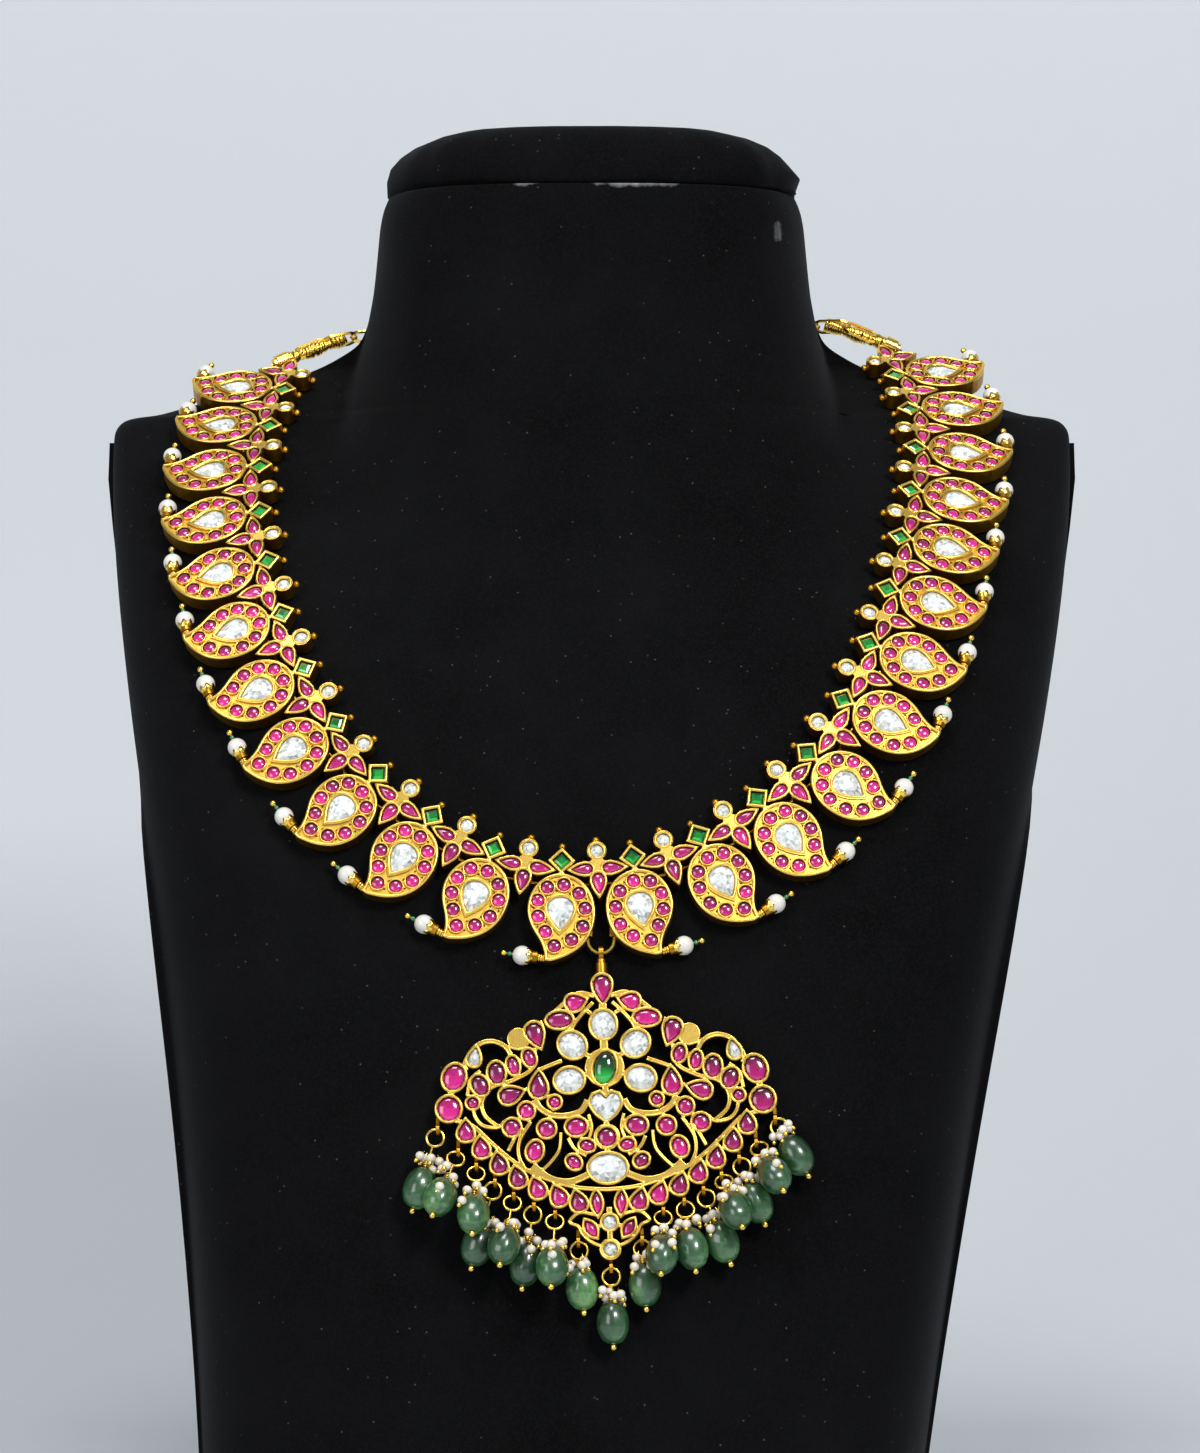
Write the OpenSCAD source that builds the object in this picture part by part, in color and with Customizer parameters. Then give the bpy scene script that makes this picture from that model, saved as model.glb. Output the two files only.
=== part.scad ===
// Kundan necklace of mango-shaped links with a pierced pendant, on a velvet neck bust.
// Millimetres. +Z is up, the necklace faces -Y, and the origin is the middle of the bust's flat foot.

/* [Bust] */
// Depth of the bust at its foot, back board included
foot_depth = 165.5; // [164:0.5:168]
// Depth that the chest loses for each millimetre of height, before it rounds over
chest_lean = 0.212; // [0.206:0.002:0.218]
// How far the crest of the shoulders has dropped at 100 mm from the middle
shoulder_fall = 2; // [1:0.5:4]
// Height of the shoulders
shoulder_h = 291; // [288:1:294]
// Rise from the shoulders to where the rounded chest would meet the back plane
crest_rise = 23; // [21:1:25]
// Half of the width across the shoulders
shoulder_half = 131.5; // [128:0.5:136]
// Sideways drift of the foot from the middle of the shoulders
foot_drift = -8; // [-9:0.5:-6]
// Rise from the shoulders to the neck's flat top
neck_rise = 59; // [55:1:63]
// Depth of the neck at its top
neck_depth = 64; // [61:1:67]
// Half of the neck's width at its top
neck_half_w = 58.5; // [57:0.5:60]
// Thickness of the back board
board_t = 8; // [7:0.5:9]
// How far the back board stands out beside the chest
board_lip = 3; // [2:0.5:4]
// Thickness of the cap on the neck
cap_t = 16.5; // [14:0.5:19]

/* [Necklace] */
// Mango links on each side
mangoes_a_side = 12; // [12]
// Distance from one mango link to the next along the string
unit_pitch = 18.4; // [18.3:0.05:18.5]
// Thickness of a link from its back to its rim
unit_t = 4.4; // [4.2:0.1:4.8]
// Clearance between a link and the velvet
unit_gap = 0.4; // [0.3:0.1:0.6]
// Width of a mango
mango_w = 17.2; // [16.8:0.1:17.3]
// Length of a mango from its top to its tip
mango_l = 22.6; // [22:0.1:23.2]
// Width of the gold rim round a mango's face
rim_w = 0.8; // [0.6:0.1:1]
// Diameter of the round rubies
ruby_d = 3.2; // [3:0.1:3.3]
// Width of the pear-shaped white stone in a mango
kundan_w = 6.4; // [6:0.1:6.6]
// Length of the pear-shaped white stone in a mango
kundan_l = 8.4; // [8:0.1:8.8]
// Side of the square green stone
square_side = 3.3; // [3:0.1:3.5]
// Width of the gold wall round a stone
wall = 0.75; // [0.6:0.05:0.8]
// Play between a stone and its pocket
play = 0.12; // [0.1:0.01:0.15]
// Diameter of the pearl at a mango's tip
pearl_d = 4.9; // [4.5:0.1:5.1]
// Diameter of the pin that holds a pearl
pin_d = 0.6; // [0.5:0.05:0.7]
// Diameter of the wire that strings the links
string_d = 0.6; // [0.5:0.05:0.7]
// Diameter of the bore for that wire
string_bore = 1.2; // [1.15:0.05:1.3]

/* [Back chain] */
// Links of the back chain on each side of its hook
links_a_side = 9; // [8:1:9]
// Diameter of the chain's wire
chain_wire = 1; // [0.9:0.05:1.1]
// Width of a chain link over its wire
link_w = 5.2; // [5:0.1:5.4]

/* [Pendant] */
// Width of the pendant over its outermost stones
pendant_w = 84; // [83:0.5:85]
// Thickness of the pendant's plate
plate_t = 3.2; // [3:0.1:3.4]
// Tilt of the resting pendant from the vertical, in degrees
pendant_tilt = 15.5; // [15:0.25:16]
// Turn of the resting pendant in its own plane, in degrees
pendant_turn = 1.8; // [1.4:0.1:2]
// Diameter of the ring's wire from which the pendant hangs
ring_wire = 1.1; // [1:0.05:1.2]
// Radius of that ring at the middle of its wire
ring_r = 3.3; // [3.1:0.1:3.4]
// Width of a green drop bead
drop_w = 8.2; // [8:0.1:8.4]
// Length of a green drop bead
drop_l = 10.8; // [10.2:0.1:11.2]
// Outer diameter of the jump ring that carries a drop
jump_d = 5; // [4.6:0.1:5.2]

/* [Hidden] */

// Route of the string over the chest, seen from the front: [across, height over the shoulders].
// The first and last points lie past the last links.
ROUTE = [[-80.5, 17], [-86.4, 5], [-90.5, -17], [-86.5, -42.5], [-75.5, -71], [-56, -98],
  [-26.2, -117], [1.7, -120.4], [28.3, -114], [57, -92.5], [74.2, -62.5], [84.2, -32],
  [89, -9], [85.2, 10], [76.5, 21.5]];
ROUTE_MIDDLE = 7;
// Route of the back chain: [across, depth in front of the back plane, height over the shoulders].
CHAIN_LEFT = [[-73.5, 8.4, 23.5], [-58, 4.4, 25.7], [-30, 4.8, 23]];
CHAIN_MIDDLE = [0, 4.8, 22];
CHAIN_RIGHT = [[30, 4.8, 24], [58, 4.4, 27.6], [73.5, 7, 26.8]];

// Sides of the chest up to the shoulder: [share of shoulder_h, share of shoulder_half].
SIDE_ROWS = [[0, 0.697], [0.17, 0.735], [0.36, 0.79], [0.55, 0.858], [0.74, 0.934], [0.87, 0.979],
  [0.965, 1], [1, 0.99]];
// Heights of the chest's sections, as shares of shoulder_h.
CHEST_ROWS = [0, 0.08, 0.2, 0.34, 0.48, 0.6, 0.7, 0.79, 0.86, 0.92, 0.965, 1];
// Sections from the shoulder to the root of the neck:
// [share of the way from shoulder_h to crest_h, share of the way from shoulder_half in to the neck].
CREST_ROWS = [[0.12, 0.18], [0.24, 0.32], [0.38, 0.5], [0.54, 0.67], [0.68, 0.8]];
// Sections of the neck, as shares of the way from crest_h to neck_top.
NECK_ROWS = [-0.08, 0.04, 0.2, 0.42, 0.7, 1];
// Sections of the cap: [share of cap_t, share of the neck's width and depth].
CAP_ROWS = [[0, 0.945], [0.2, 0.955], [0.6, 0.945], [0.85, 0.92], [1, 0.86]];
SECTION_COLUMNS = 34;

// Shape of the chest and neck.
crest_h = shoulder_h + crest_rise;
neck_top = shoulder_h + neck_rise;
chest_power = 5;
side_power = 6;
neck_power = 3;
neck_swell = 44;
neck_run = 170;
neck_flare = 43;
blend_w = 8;
edge_t = 1.5;
seam = 0.1;
back_y = foot_depth / 2;

// Steps round a small circle, and round a bead.
ARC = 24;
ROUND = 48;

function bulge(q, p) = abs(q) < 1 ? pow(1 - pow(abs(q), p), 1 / p) : 0;
function swell(a, b) = max(a, b) + pow(max(blend_w - abs(a - b), 0), 2) / (4 * blend_w);
function chest(z) = foot_depth - chest_lean * z
  - (foot_depth - chest_lean * crest_h) * pow(z / crest_h, chest_power);
function neck_front(z) = neck_depth
  + neck_swell * pow(max(0, min(1, (neck_top - z) / neck_run)), 1.6);
function neck_half(z) = neck_half_w + neck_flare * pow(max(0, (neck_top - z) / 150), 1.25);
function chest_half(z) = shoulder_half * lookup(z / shoulder_h, SIDE_ROWS);
function drift(z) = foot_drift * pow(max(0, 1 - z / shoulder_h), 1.7);
// Depth of the velvet in front of the back plane, at x from the middle of its section.
function crest_z(x, z) = z + shoulder_fall * pow(x / 100, 2);
function front(x, z, half) = swell(
  board_t + (chest(crest_z(x, z)) - board_t) * bulge(x / half, side_power),
  neck_front(z) * bulge(x / neck_half(z), neck_power));
function section_depth(x, z, half) = max(board_t + edge_t, front(x, z, half));
// Depth of the surface that the necklace lies on: the chest, carried on past its crest.
function seat(x, z) = front(x - drift(z), z, chest_half(min(z, shoulder_h * 0.965)));
function velvet(x, z) = [x, back_y - seat(x, z), z];

// Sections of the bust from foot to neck: [height, half width].
function crest_half(q) = shoulder_half + (neck_half(crest_h) - shoulder_half) * q;
BUST_ROWS = concat(
  [for (q = CHEST_ROWS) [q * shoulder_h, chest_half(q * shoulder_h)]],
  [for (r = CREST_ROWS) [shoulder_h + r[0] * (crest_h - shoulder_h), crest_half(r[1])]],
  [for (q = NECK_ROWS) let (z = crest_h + q * (neck_top - crest_h)) [z, neck_half(z)]]);

// Columns of a section from -1 to 1, closer together toward the sides.
function column(j) = let (q = 2 * j / SECTION_COLUMNS - 1) 0.45 * q + 0.55 * sin(90 * q);
// One closed section: its front from left to right, then its two back corners.
function section(z, half) = concat(
  [for (j = [0:SECTION_COLUMNS])
    [drift(z) + half * column(j), back_y - section_depth(half * column(j), z, half), z]],
  [[drift(z) + half, back_y - board_t - seam, z], [drift(z) - half, back_y - board_t - seam, z]]);

// Skin over a stack of closed sections that have the same number of points.
module skin(rows) {
  n = len(rows[0]);
  last = (len(rows) - 1) * n;
  polyhedron(
    points = [for (r = rows) for (p = r) p],
    faces = concat(
      [[for (j = [0:n - 1]) j]],
      [for (i = [0:len(rows) - 2]) for (j = [0:n - 1]) let (k = (j + 1) % n)
        [i * n + j, (i + 1) * n + k, i * n + k]],
      [for (i = [0:len(rows) - 2]) for (j = [0:n - 1]) let (k = (j + 1) % n)
        [i * n + j, (i + 1) * n + j, (i + 1) * n + k]],
      [[for (j = [n - 1:-1:0]) last + j]]),
    convexity = 6);
}

// Vector helpers.
function unit(v) = v / norm(v);
function flat(m) = [for (r = m) for (v = r) v];
function frame(p, e1, e2, e3) = [[e1.x, e2.x, e3.x, p.x], [e1.y, e2.y, e3.y, p.y],
  [e1.z, e2.z, e3.z, p.z], [0, 0, 0, 1]];
function placed(m, p) = [for (i = [0:2]) m[i][0] * p.x + m[i][1] * p.y + m[i][2] * p.z + m[i][3]];

// Smooth curve through the points of a list, with the given steps between two of them.
function curve_at(p, i, u) = let (
    a = p[max(i - 1, 0)], b = p[i], c = p[min(i + 1, len(p) - 1)], d = p[min(i + 2, len(p) - 1)])
  0.5 * (2 * b + (c - a) * u + (2 * a - 5 * b + 4 * c - d) * u * u
    + (3 * b - a - 3 * c + d) * u * u * u);
function curve(p, steps) = concat(
  [for (i = [0:len(p) - 2]) for (k = [0:steps - 1]) curve_at(p, i, k / steps)], [p[len(p) - 1]]);
// Running length at each point of a path.
function lengths(p) = [for (i = 0, s = 0; i < len(p);
  s = s + (i < len(p) - 1 ? norm(p[i + 1] - p[i]) : 0), i = i + 1) s];
// Point at a length along a path.
function point_at(p, at, a) = [for (k = [0:2]) lookup(a, [for (i = [0:len(p) - 1]) [at[i], p[i][k]]])];

// The string's path over the velvet, and the length along it at the middle flower.
ROUTE_STEPS = 8;
PATH = [for (q = curve(ROUTE, ROUTE_STEPS)) velvet(q[0], shoulder_h + q[1])];
PATH_AT = lengths(PATH);
middle_at = PATH_AT[ROUTE_MIDDLE * ROUTE_STEPS];

// Outward normal of the velvet at x, z.
function normal_at(x, z) = let (e = 6)
  unit([-(seat(x + e, z) - seat(x - e, z)) / (2 * e), -1, -(seat(x, z + e) - seat(x, z - e)) / (2 * e)]);
// Frame of a link at a length along the string: s to the left, t outward over the chest, n off it.
function link_axes(a) = let (
    p = point_at(PATH, PATH_AT, a),
    run = unit(point_at(PATH, PATH_AT, a + 3) - point_at(PATH, PATH_AT, a - 3)),
    out0 = cross(run, normal_at(p.x, p.z)),
    mid = p + 8 * out0,
    n = normal_at(mid.x, mid.z),
    t = unit(cross(run, n)))
  [p, cross(t, n), t, n];
// How far the velvet stands above a link's plane under its footprint.
function rise(f, feet) = max([for (q = feet) let (p = f[0] + q[0] * f[1] + q[1] * f[2])
  (back_y - seat(p.x, p.z) - p.y) * f[3].y]);
function link_frame(a, feet) = let (f = link_axes(a))
  frame(f[0] + (rise(f, feet) + unit_gap) * f[3], f[1], f[2], f[3]);
MANGO_FEET = [for (s = [-9:3:9]) for (t = [-7:4:25]) [s, t]];
FLOWER_FEET = [for (s = [-8:2:8]) for (t = [-9:3:9]) [s, t]];
// Links from left to right: the mangoes sit half way between two flowers.
MANGO_FRAMES = [for (k = [-mangoes_a_side:mangoes_a_side - 1])
  link_frame(middle_at + (k + 0.5) * unit_pitch, MANGO_FEET)];
FLOWER_FRAMES = [for (k = [-mangoes_a_side:mangoes_a_side])
  link_frame(middle_at + k * unit_pitch, FLOWER_FEET)];

// Outline of a cut stone: pointed at its top if tip is 1, and at its foot if foot is 1.
function gem(w, l, tip = 0, foot = 0, n = 12) = let (
    full = tip + foot == 2 ? 0.5 : tip + foot == 1 ? 0.77 : 1)
  [for (i = [0:n - 1]) let (a = 360 * i / n)
    [-w / 2 * sin(a) * pow(abs(sin(a / 2)), tip) * pow(abs(cos(a / 2)), foot) / full, l / 2 * cos(a)]];
// Heart outline, point down, as shares of its width and length.
HEART = [[0, 0.3], [-0.2, 0.5], [-0.42, 0.42], [-0.5, 0.14], [-0.3, -0.24], [0, -0.5], [0.3, -0.24],
  [0.5, 0.14], [0.42, 0.42], [0.2, 0.5]];
function heart(w, l) = [for (p = HEART) [w * p.x, l * p.y]];

// A cut stone on its outline: flat back, one row of facets and a table.
module cut_stone(pts, h, table = 0.62) {
  n = len(pts);
  polyhedron(
    points = concat([for (p = pts) [p.x, p.y, 0]], [for (p = pts) [p.x * table, p.y * table, h]]),
    faces = concat(
      [[for (i = [0:n - 1]) i]],
      [for (i = [0:n - 1]) [i, n + i, n + (i + 1) % n, (i + 1) % n]],
      [[for (i = [n - 1:-1:0]) n + i]]));
}

// A small soldered ball.
module shot(r) sphere(r = r, $fn = ROUND);

// Closed wire round a flat loop of points.
function ring_points(path, r, sides) = [for (i = [0:len(path) - 1]) let (
    n = len(path), run = unit(path[(i + 1) % n] - path[(i + n - 1) % n]), out = [run.y, -run.x])
  for (j = [0:sides - 1]) let (a = 360 * j / sides)
    [path[i].x + r * cos(a) * out.x, path[i].y + r * cos(a) * out.y, r * sin(a)]];
module closed_wire(path, r, sides = 5) {
  n = len(path);
  polyhedron(
    points = ring_points(path, r, sides),
    faces = concat(
      [for (i = [0:n - 1]) for (j = [0:sides - 1]) let (i2 = (i + 1) % n, j2 = (j + 1) % sides)
        [i * sides + j, i * sides + j2, i2 * sides + j2]],
      [for (i = [0:n - 1]) for (j = [0:sides - 1]) let (i2 = (i + 1) % n, j2 = (j + 1) % sides)
        [i * sides + j, i2 * sides + j2, i2 * sides + j]]),
    convexity = 4);
}

// Open wire along a path in space, with a side direction for each point.
function wire_rows(path, ups, r, sides) = [for (i = [0:len(path) - 1]) let (
    run = unit(path[min(i + 1, len(path) - 1)] - path[max(i - 1, 0)]),
    a = unit(cross(run, ups[i])), b = cross(run, a))
  [for (j = [0:sides - 1]) let (q = 360 * j / sides) path[i] + r * (cos(q) * a + sin(q) * b)]];
module wire(path, ups, r, sides = 5) skin(wire_rows(path, ups, r, sides));

// Drilled bead along Z, of width w and length l.
module drilled_bead(w, l, bore, rows = 8) {
  edge = asin(bore / w);
  step = (180 - 2 * edge) / rows;
  rotate_extrude($fn = ROUND)
    polygon([for (i = [0:rows]) let (a = -90 + edge + step * i) [w / 2 * cos(a), l / 2 * sin(a)]]);
}

// Frame whose Z runs along a direction and whose Y is near the given up.
function along(p, dir, up) = let (x = unit(cross(up, dir))) frame(p, x, cross(dir, x), dir);

// Mango link

// Outline from the tip's outer corner round to its inner corner:
// [share of mango_w from the middle, share of mango_l from the top].
MANGO_SHAPE = [[0.19, 1.01], [0.205, 0.9], [0.275, 0.775], [0.4, 0.625], [0.47, 0.46], [0.45, 0.285],
  [0.345, 0.13], [0.185, 0.035], [0, 0], [-0.2, 0.035], [-0.365, 0.125], [-0.485, 0.285],
  [-0.52, 0.47], [-0.475, 0.66], [-0.33, 0.835], [-0.11, 0.955], [0.1, 1.015]];
// Where the ten rubies sit: [share of mango_w from the middle, share of mango_l from the top].
MANGO_RUBIES = [[-0.047, 0.13], [0.195, 0.165], [0.325, 0.32], [0.315, 0.505], [0.2, 0.68],
  [0.06, 0.84], [-0.19, 0.76], [-0.345, 0.605], [-0.37, 0.395], [-0.27, 0.225]];
mango_top = 1;
pear_at = [-0.012 * mango_w, mango_top + 0.46 * mango_l];
face_t = unit_t - 1.2;
floor_t = unit_t - 0.5;
square_at = [0, mango_top - 3.4];
square_outer = square_side + 2 * wall + 0.15;
string_at = [3.2, 1.6];
tip_at = [0.16 * mango_w, mango_top + 0.965 * mango_l, unit_t / 2];
tip_turn = -6;
neck_l = 2.5;
cup_l = 1.2;
pearl_at = neck_l + cup_l + 0.15 + pearl_d / 2;
head_r = 0.8;
head_at = pearl_at + pearl_d / 2 + 1.4 + head_r;

module mango_outline()
  polygon([for (p = curve(MANGO_SHAPE, 2)) [p.x * mango_w, mango_top + p.y * mango_l]]);
module at_rubies() for (p = MANGO_RUBIES) translate([p.x * mango_w, mango_top + p.y * mango_l]) children();
module pear(grow) translate(pear_at) offset(delta = grow) polygon(gem(kundan_w, kundan_l, tip = 1, n = 16));
module mango_pockets() {
  at_rubies() circle(d = ruby_d + 2 * play, $fn = ARC);
  pear(play);
}
module square_stone(side) translate(square_at) rotate(45) square(side, center = true);
// The face is sunk between the rim and the collars of the stones.
module mango_body() difference() {
  linear_extrude(unit_t) mango_outline();
  translate([0, 0, floor_t]) linear_extrude(unit_t) difference() {
    offset(delta = -rim_w) mango_outline();
    at_rubies() circle(d = ruby_d + wall, $fn = ARC);
    pear(1.1);
  }
  translate([0, 0, face_t]) linear_extrude(unit_t) mango_pockets();
}
module square_setting() {
  linear_extrude(face_t) {
    square_stone(square_outer);
    translate([0, mango_top]) circle(r = 1, $fn = ARC);
  }
  translate([0, 0, face_t]) linear_extrude(unit_t - face_t) difference() {
    square_stone(square_outer);
    square_stone(square_side + 2 * play);
  }
  translate([0, square_at.y - square_outer * 0.7071 - 0.6, unit_t / 2]) shot(1);
}
module tip_fitting() {
  translate(tip_at) rotate([0, 90, 0]) rotate([-tip_turn, 0, 0]) {
    translate([0, 0, -0.8]) cylinder(r = 0.95, h = neck_l + 1.3, $fn = ARC);
    translate([0, 0, neck_l]) cylinder(r = 1.55, h = cup_l, $fn = ARC);
    cylinder(d = pin_d, h = head_at, $fn = ARC);
    translate([0, 0, head_at]) shot(head_r);
  }
}
module string_hole(half) translate([-half, string_at.x, string_at.y]) rotate([0, 90, 0])
  cylinder(d = string_bore, h = 2 * half, $fn = ARC);
module mango_link() {
  difference() {
    union() {
      mango_body();
      square_setting();
      tip_fitting();
    }
    string_hole(mango_w / 2);
  }
}
// Places children as the mango link k, counted from the left end, with its tip away from the middle.
module at_mango(k) multmatrix(MANGO_FRAMES[k]) mirror([k < mangoes_a_side ? 0 : 1, 0, 0]) children();
module all_mangoes() for (k = [0:2 * mangoes_a_side - 1]) at_mango(k) children();
module mango(k) color("goldenrod") at_mango(k) mango_link();
// One of the two middle mangoes, with the lug and the bore that take an arm of the pendant's ring.
module ring_mango(k, side) color("goldenrod") difference() {
  union() {
    at_mango(k) mango_link();
    ring_lug(side);
  }
  ring_bore(side);
}

// Flower link

wing_w = 4.2;
wing_l = 7.3;
wing_at = [4.2, -0.25];
petal_w = 4.6;
petal_l = 7.5;
petal_y = 3.95;
round_y = -4.9;
round_r = 2.45;
round_d = 3.2;
petal_wall = 0.65;
flower_t = unit_t - 0.2;
flower_floor = flower_t - 1.2;

module wings(trim) for (side = [-1, 1]) translate([side * wing_at.x, wing_at.y]) rotate(-side * 90)
  offset(delta = trim) polygon(gem(wing_w, wing_l, tip = 1, n = 14));
module petal(trim) translate([0, petal_y])
  offset(delta = trim) polygon(gem(petal_w, petal_l, tip = 1, n = 14));
module flower_outline() {
  wings(0);
  petal(0);
  translate([0, round_y]) circle(r = round_r, $fn = ARC);
  translate([0, -1.2]) circle(r = 2, $fn = ARC);
}
module flower_link() {
  difference() {
    union() {
      linear_extrude(flower_t) flower_outline();
      translate([0, round_y - round_r - 0.7, flower_t / 2]) shot(1.05);
    }
    translate([0, 0, flower_floor]) linear_extrude(flower_t) {
      wings(-petal_wall);
      petal(-petal_wall);
      translate([0, round_y]) circle(d = round_d + 2 * play, $fn = ARC);
    }
    string_hole(petal_w);
  }
}
module flower_links() color("goldenrod") for (f = FLOWER_FRAMES) multmatrix(f) flower_link();

// Stones, pearls and string of the links

module mango_kundans() color("lavender") all_mangoes() translate([pear_at.x, pear_at.y, face_t + play])
  cut_stone(gem(kundan_w, kundan_l, tip = 1, n = 12), unit_t + 0.4 - face_t);
// Square with cut corners, b from the middle along each side.
function cut_square(a, b) = [[a, -b], [a, b], [b, a], [-b, a], [-a, b], [-a, -b], [-b, -a], [b, -a]];
module square_emeralds() color("green") all_mangoes() translate([square_at.x, square_at.y, face_t + play])
  rotate(45) cut_stone(cut_square(square_side / 2, square_side * 0.3), unit_t + 0.2 - face_t);
module tip_pearls() color("white") all_mangoes() translate(tip_at) rotate([-tip_turn, 90, 0])
  translate([0, 0, pearl_at]) drilled_bead(pearl_d, pearl_d, pin_d + 0.3);

// The string runs straight through each link's bore and turns between the links.
function bore_points(f, half) = [for (s = [half, -half]) placed(f, [s, string_at.x, string_at.y])];
STRING = concat(
  [for (k = [0:2 * mangoes_a_side]) each concat(bore_points(FLOWER_FRAMES[k], 2.2),
    k < 2 * mangoes_a_side ? bore_points(MANGO_FRAMES[k], 4.4) : [])]);
STRING_UPS = concat(
  [for (k = [0:2 * mangoes_a_side]) let (
      f = FLOWER_FRAMES[k],
      g = MANGO_FRAMES[min(k, 2 * mangoes_a_side - 1)])
    each concat([for (i = [0, 1]) [f[0][2], f[1][2], f[2][2]]],
      k < 2 * mangoes_a_side ? [for (i = [0, 1]) [g[0][2], g[1][2], g[2][2]]] : [])]);

// Back chain: two gold ends, plain links and a hook

function rear(p) = [p.x, back_y - p.y, shoulder_h + p.z];
end_l = 5.2;
end_r = 2.2;
// The ends sit past the last flowers and point at the first turn of the chain.
end_at = [7.8, 3.4, 3];
LEFT_END = placed(FLOWER_FRAMES[0], end_at);
RIGHT_END = placed(FLOWER_FRAMES[2 * mangoes_a_side], [-end_at.x, end_at.y, end_at.z]);
LEFT_DIR = unit(rear(CHAIN_LEFT[0]) - LEFT_END);
RIGHT_DIR = unit(rear(CHAIN_RIGHT[len(CHAIN_RIGHT) - 1]) - RIGHT_END);
eye_r = 1.75;
eye_hole = 0.95;
eye_at = end_l / 2 + 1.5;
// Path of the chain from the left eye to the right eye.
lead = 9;
CHAIN = curve(concat([for (q = [0, 0.5, 1]) LEFT_END + (eye_at + q * lead) * LEFT_DIR],
  [for (i = [1:len(CHAIN_LEFT) - 1]) rear(CHAIN_LEFT[i])], [rear(CHAIN_MIDDLE)],
  [for (i = [0:len(CHAIN_RIGHT) - 2]) rear(CHAIN_RIGHT[i])],
  [for (q = [1, 0.5, 0]) RIGHT_END + (eye_at + q * lead) * RIGHT_DIR]), 6);
CHAIN_AT = lengths(CHAIN);
chain_l = CHAIN_AT[len(CHAIN_AT) - 1];
pieces = 2 * links_a_side + 1;
// Neighbours hook into each other, so that each is a little longer than its share of the chain.
hook_in = chain_wire + 0.45;
link_pitch = (chain_l - hook_in) / pieces;
link_half = (link_pitch + hook_in) / 2;
link_bend = link_w / 2 - chain_wire / 2;
LINK = concat(
  [for (a = [-90:45:90]) [link_half - link_bend + link_bend * cos(a), link_bend * sin(a)]],
  [for (a = [90:45:270]) [-link_half + link_bend + link_bend * cos(a), link_bend * sin(a)]]);
// Frame of piece i: X along the chain, rolled a quarter turn from one piece to the next.
function chain_frame(i) = let (
    a = link_half + i * link_pitch,
    p = point_at(CHAIN, CHAIN_AT, a),
    run = unit(point_at(CHAIN, CHAIN_AT, a + link_pitch / 2)
      - point_at(CHAIN, CHAIN_AT, a - link_pitch / 2)),
    side = unit(cross(run, [0, 0, 1])), up = cross(side, run), q = i % 2 == 0 ? 45 : -45,
    z = cos(q) * up + sin(q) * side)
  frame(p, run, cross(z, run), z);
module back_chain() color("goldenrod") for (i = [0:pieces - 1])
  if (i != links_a_side) multmatrix(chain_frame(i)) closed_wire(LINK, chain_wire / 2);
// The hook is an S of wire: each bow holds the next link.
hook_r = link_bend * 0.8;
HOOK = concat(
  [for (a = [150:-30:-90]) [link_half - hook_r + hook_r * cos(a), hook_r * sin(a), 0]],
  [for (a = [90:30:330]) [-link_half + hook_r + hook_r * cos(a), hook_r * sin(a), 0]]);
module clasp_hook() color("goldenrod") multmatrix(chain_frame(links_a_side)) {
  wire([for (p = HOOK) p], [for (p = HOOK) [0, 0, 1]], chain_wire / 2);
}
// Gold end: a barrel that takes the string in its bore, with an eye for the first link.
module chain_end(p, dir, roll) color("goldenrod") multmatrix(along(p, dir, [0, 0, 1])) rotate(roll) {
  difference() {
    union() {
      translate([0, 0, -end_l / 2]) cylinder(r = end_r * 0.72, h = end_l, $fn = ARC);
      translate([0, 0, -end_l * 0.32]) cylinder(r = end_r, h = end_l * 0.64, $fn = ARC);
      translate([0, 0, eye_at]) rotate([90, 0, 0]) cylinder(r = eye_r, h = 0.9, center = true, $fn = ARC);
    }
    translate([0, 0, -end_l / 2 - 1]) cylinder(d = string_bore, h = end_l * 0.7 + 1, $fn = ARC);
    translate([0, 0, eye_at]) rotate([90, 0, 0]) cylinder(r = eye_hole, h = 2, center = true, $fn = ARC);
  }
}
END_TAKE = 1.6;
STRING_FULL = concat([LEFT_END - (end_l / 2 - END_TAKE) * LEFT_DIR, LEFT_END - (end_l / 2 + 0.8) * LEFT_DIR],
  STRING, [RIGHT_END - (end_l / 2 + 0.8) * RIGHT_DIR, RIGHT_END - (end_l / 2 - END_TAKE) * RIGHT_DIR]);
STRING_FULL_UPS = concat([STRING_UPS[0], STRING_UPS[0]], STRING_UPS,
  [STRING_UPS[len(STRING_UPS) - 1], STRING_UPS[len(STRING_UPS) - 1]]);
module stringing_wire() color("gold") wire(STRING_FULL, STRING_FULL_UPS, string_d / 2);

// Pendant: u to the right, v down from the ring, n off the velvet; drawn with Y up.

ring_x = 2.5;
ring_z = shoulder_h - 140.6;
plate_gap = 0.5;
// The pendant's tables count in eighty-fourths of its width.
part = pendant_w / 84;
UP = [0, sin(pendant_tilt), cos(pendant_tilt)];
OFF = [0, -cos(pendant_tilt), sin(pendant_tilt)];
PLATE_FEET = [for (u = [-36, 0, 36]) for (v = [0:8:80]) [u * part, v * part]];
// Height of the velvet over the plane through p that the pendant lies in.
function over_plane(p, u, v) = let (q = p + [u, 0, 0] - v * UP) (back_y - seat(q.x, q.z) - q.y) * OFF.y;
RING_ON_VELVET = velvet(ring_x, ring_z);
ring_rise = max([for (q = PLATE_FEET) over_plane(RING_ON_VELVET, q[0], q[1])]);
HINGE = RING_ON_VELVET + (ring_rise + plate_gap + plate_t / 2) * OFF;
ACROSS = cos(pendant_turn) * [1, 0, 0] + sin(pendant_turn) * UP;
PLATE = frame(HINGE, ACROSS, cross(OFF, ACROSS), OFF);
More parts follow.
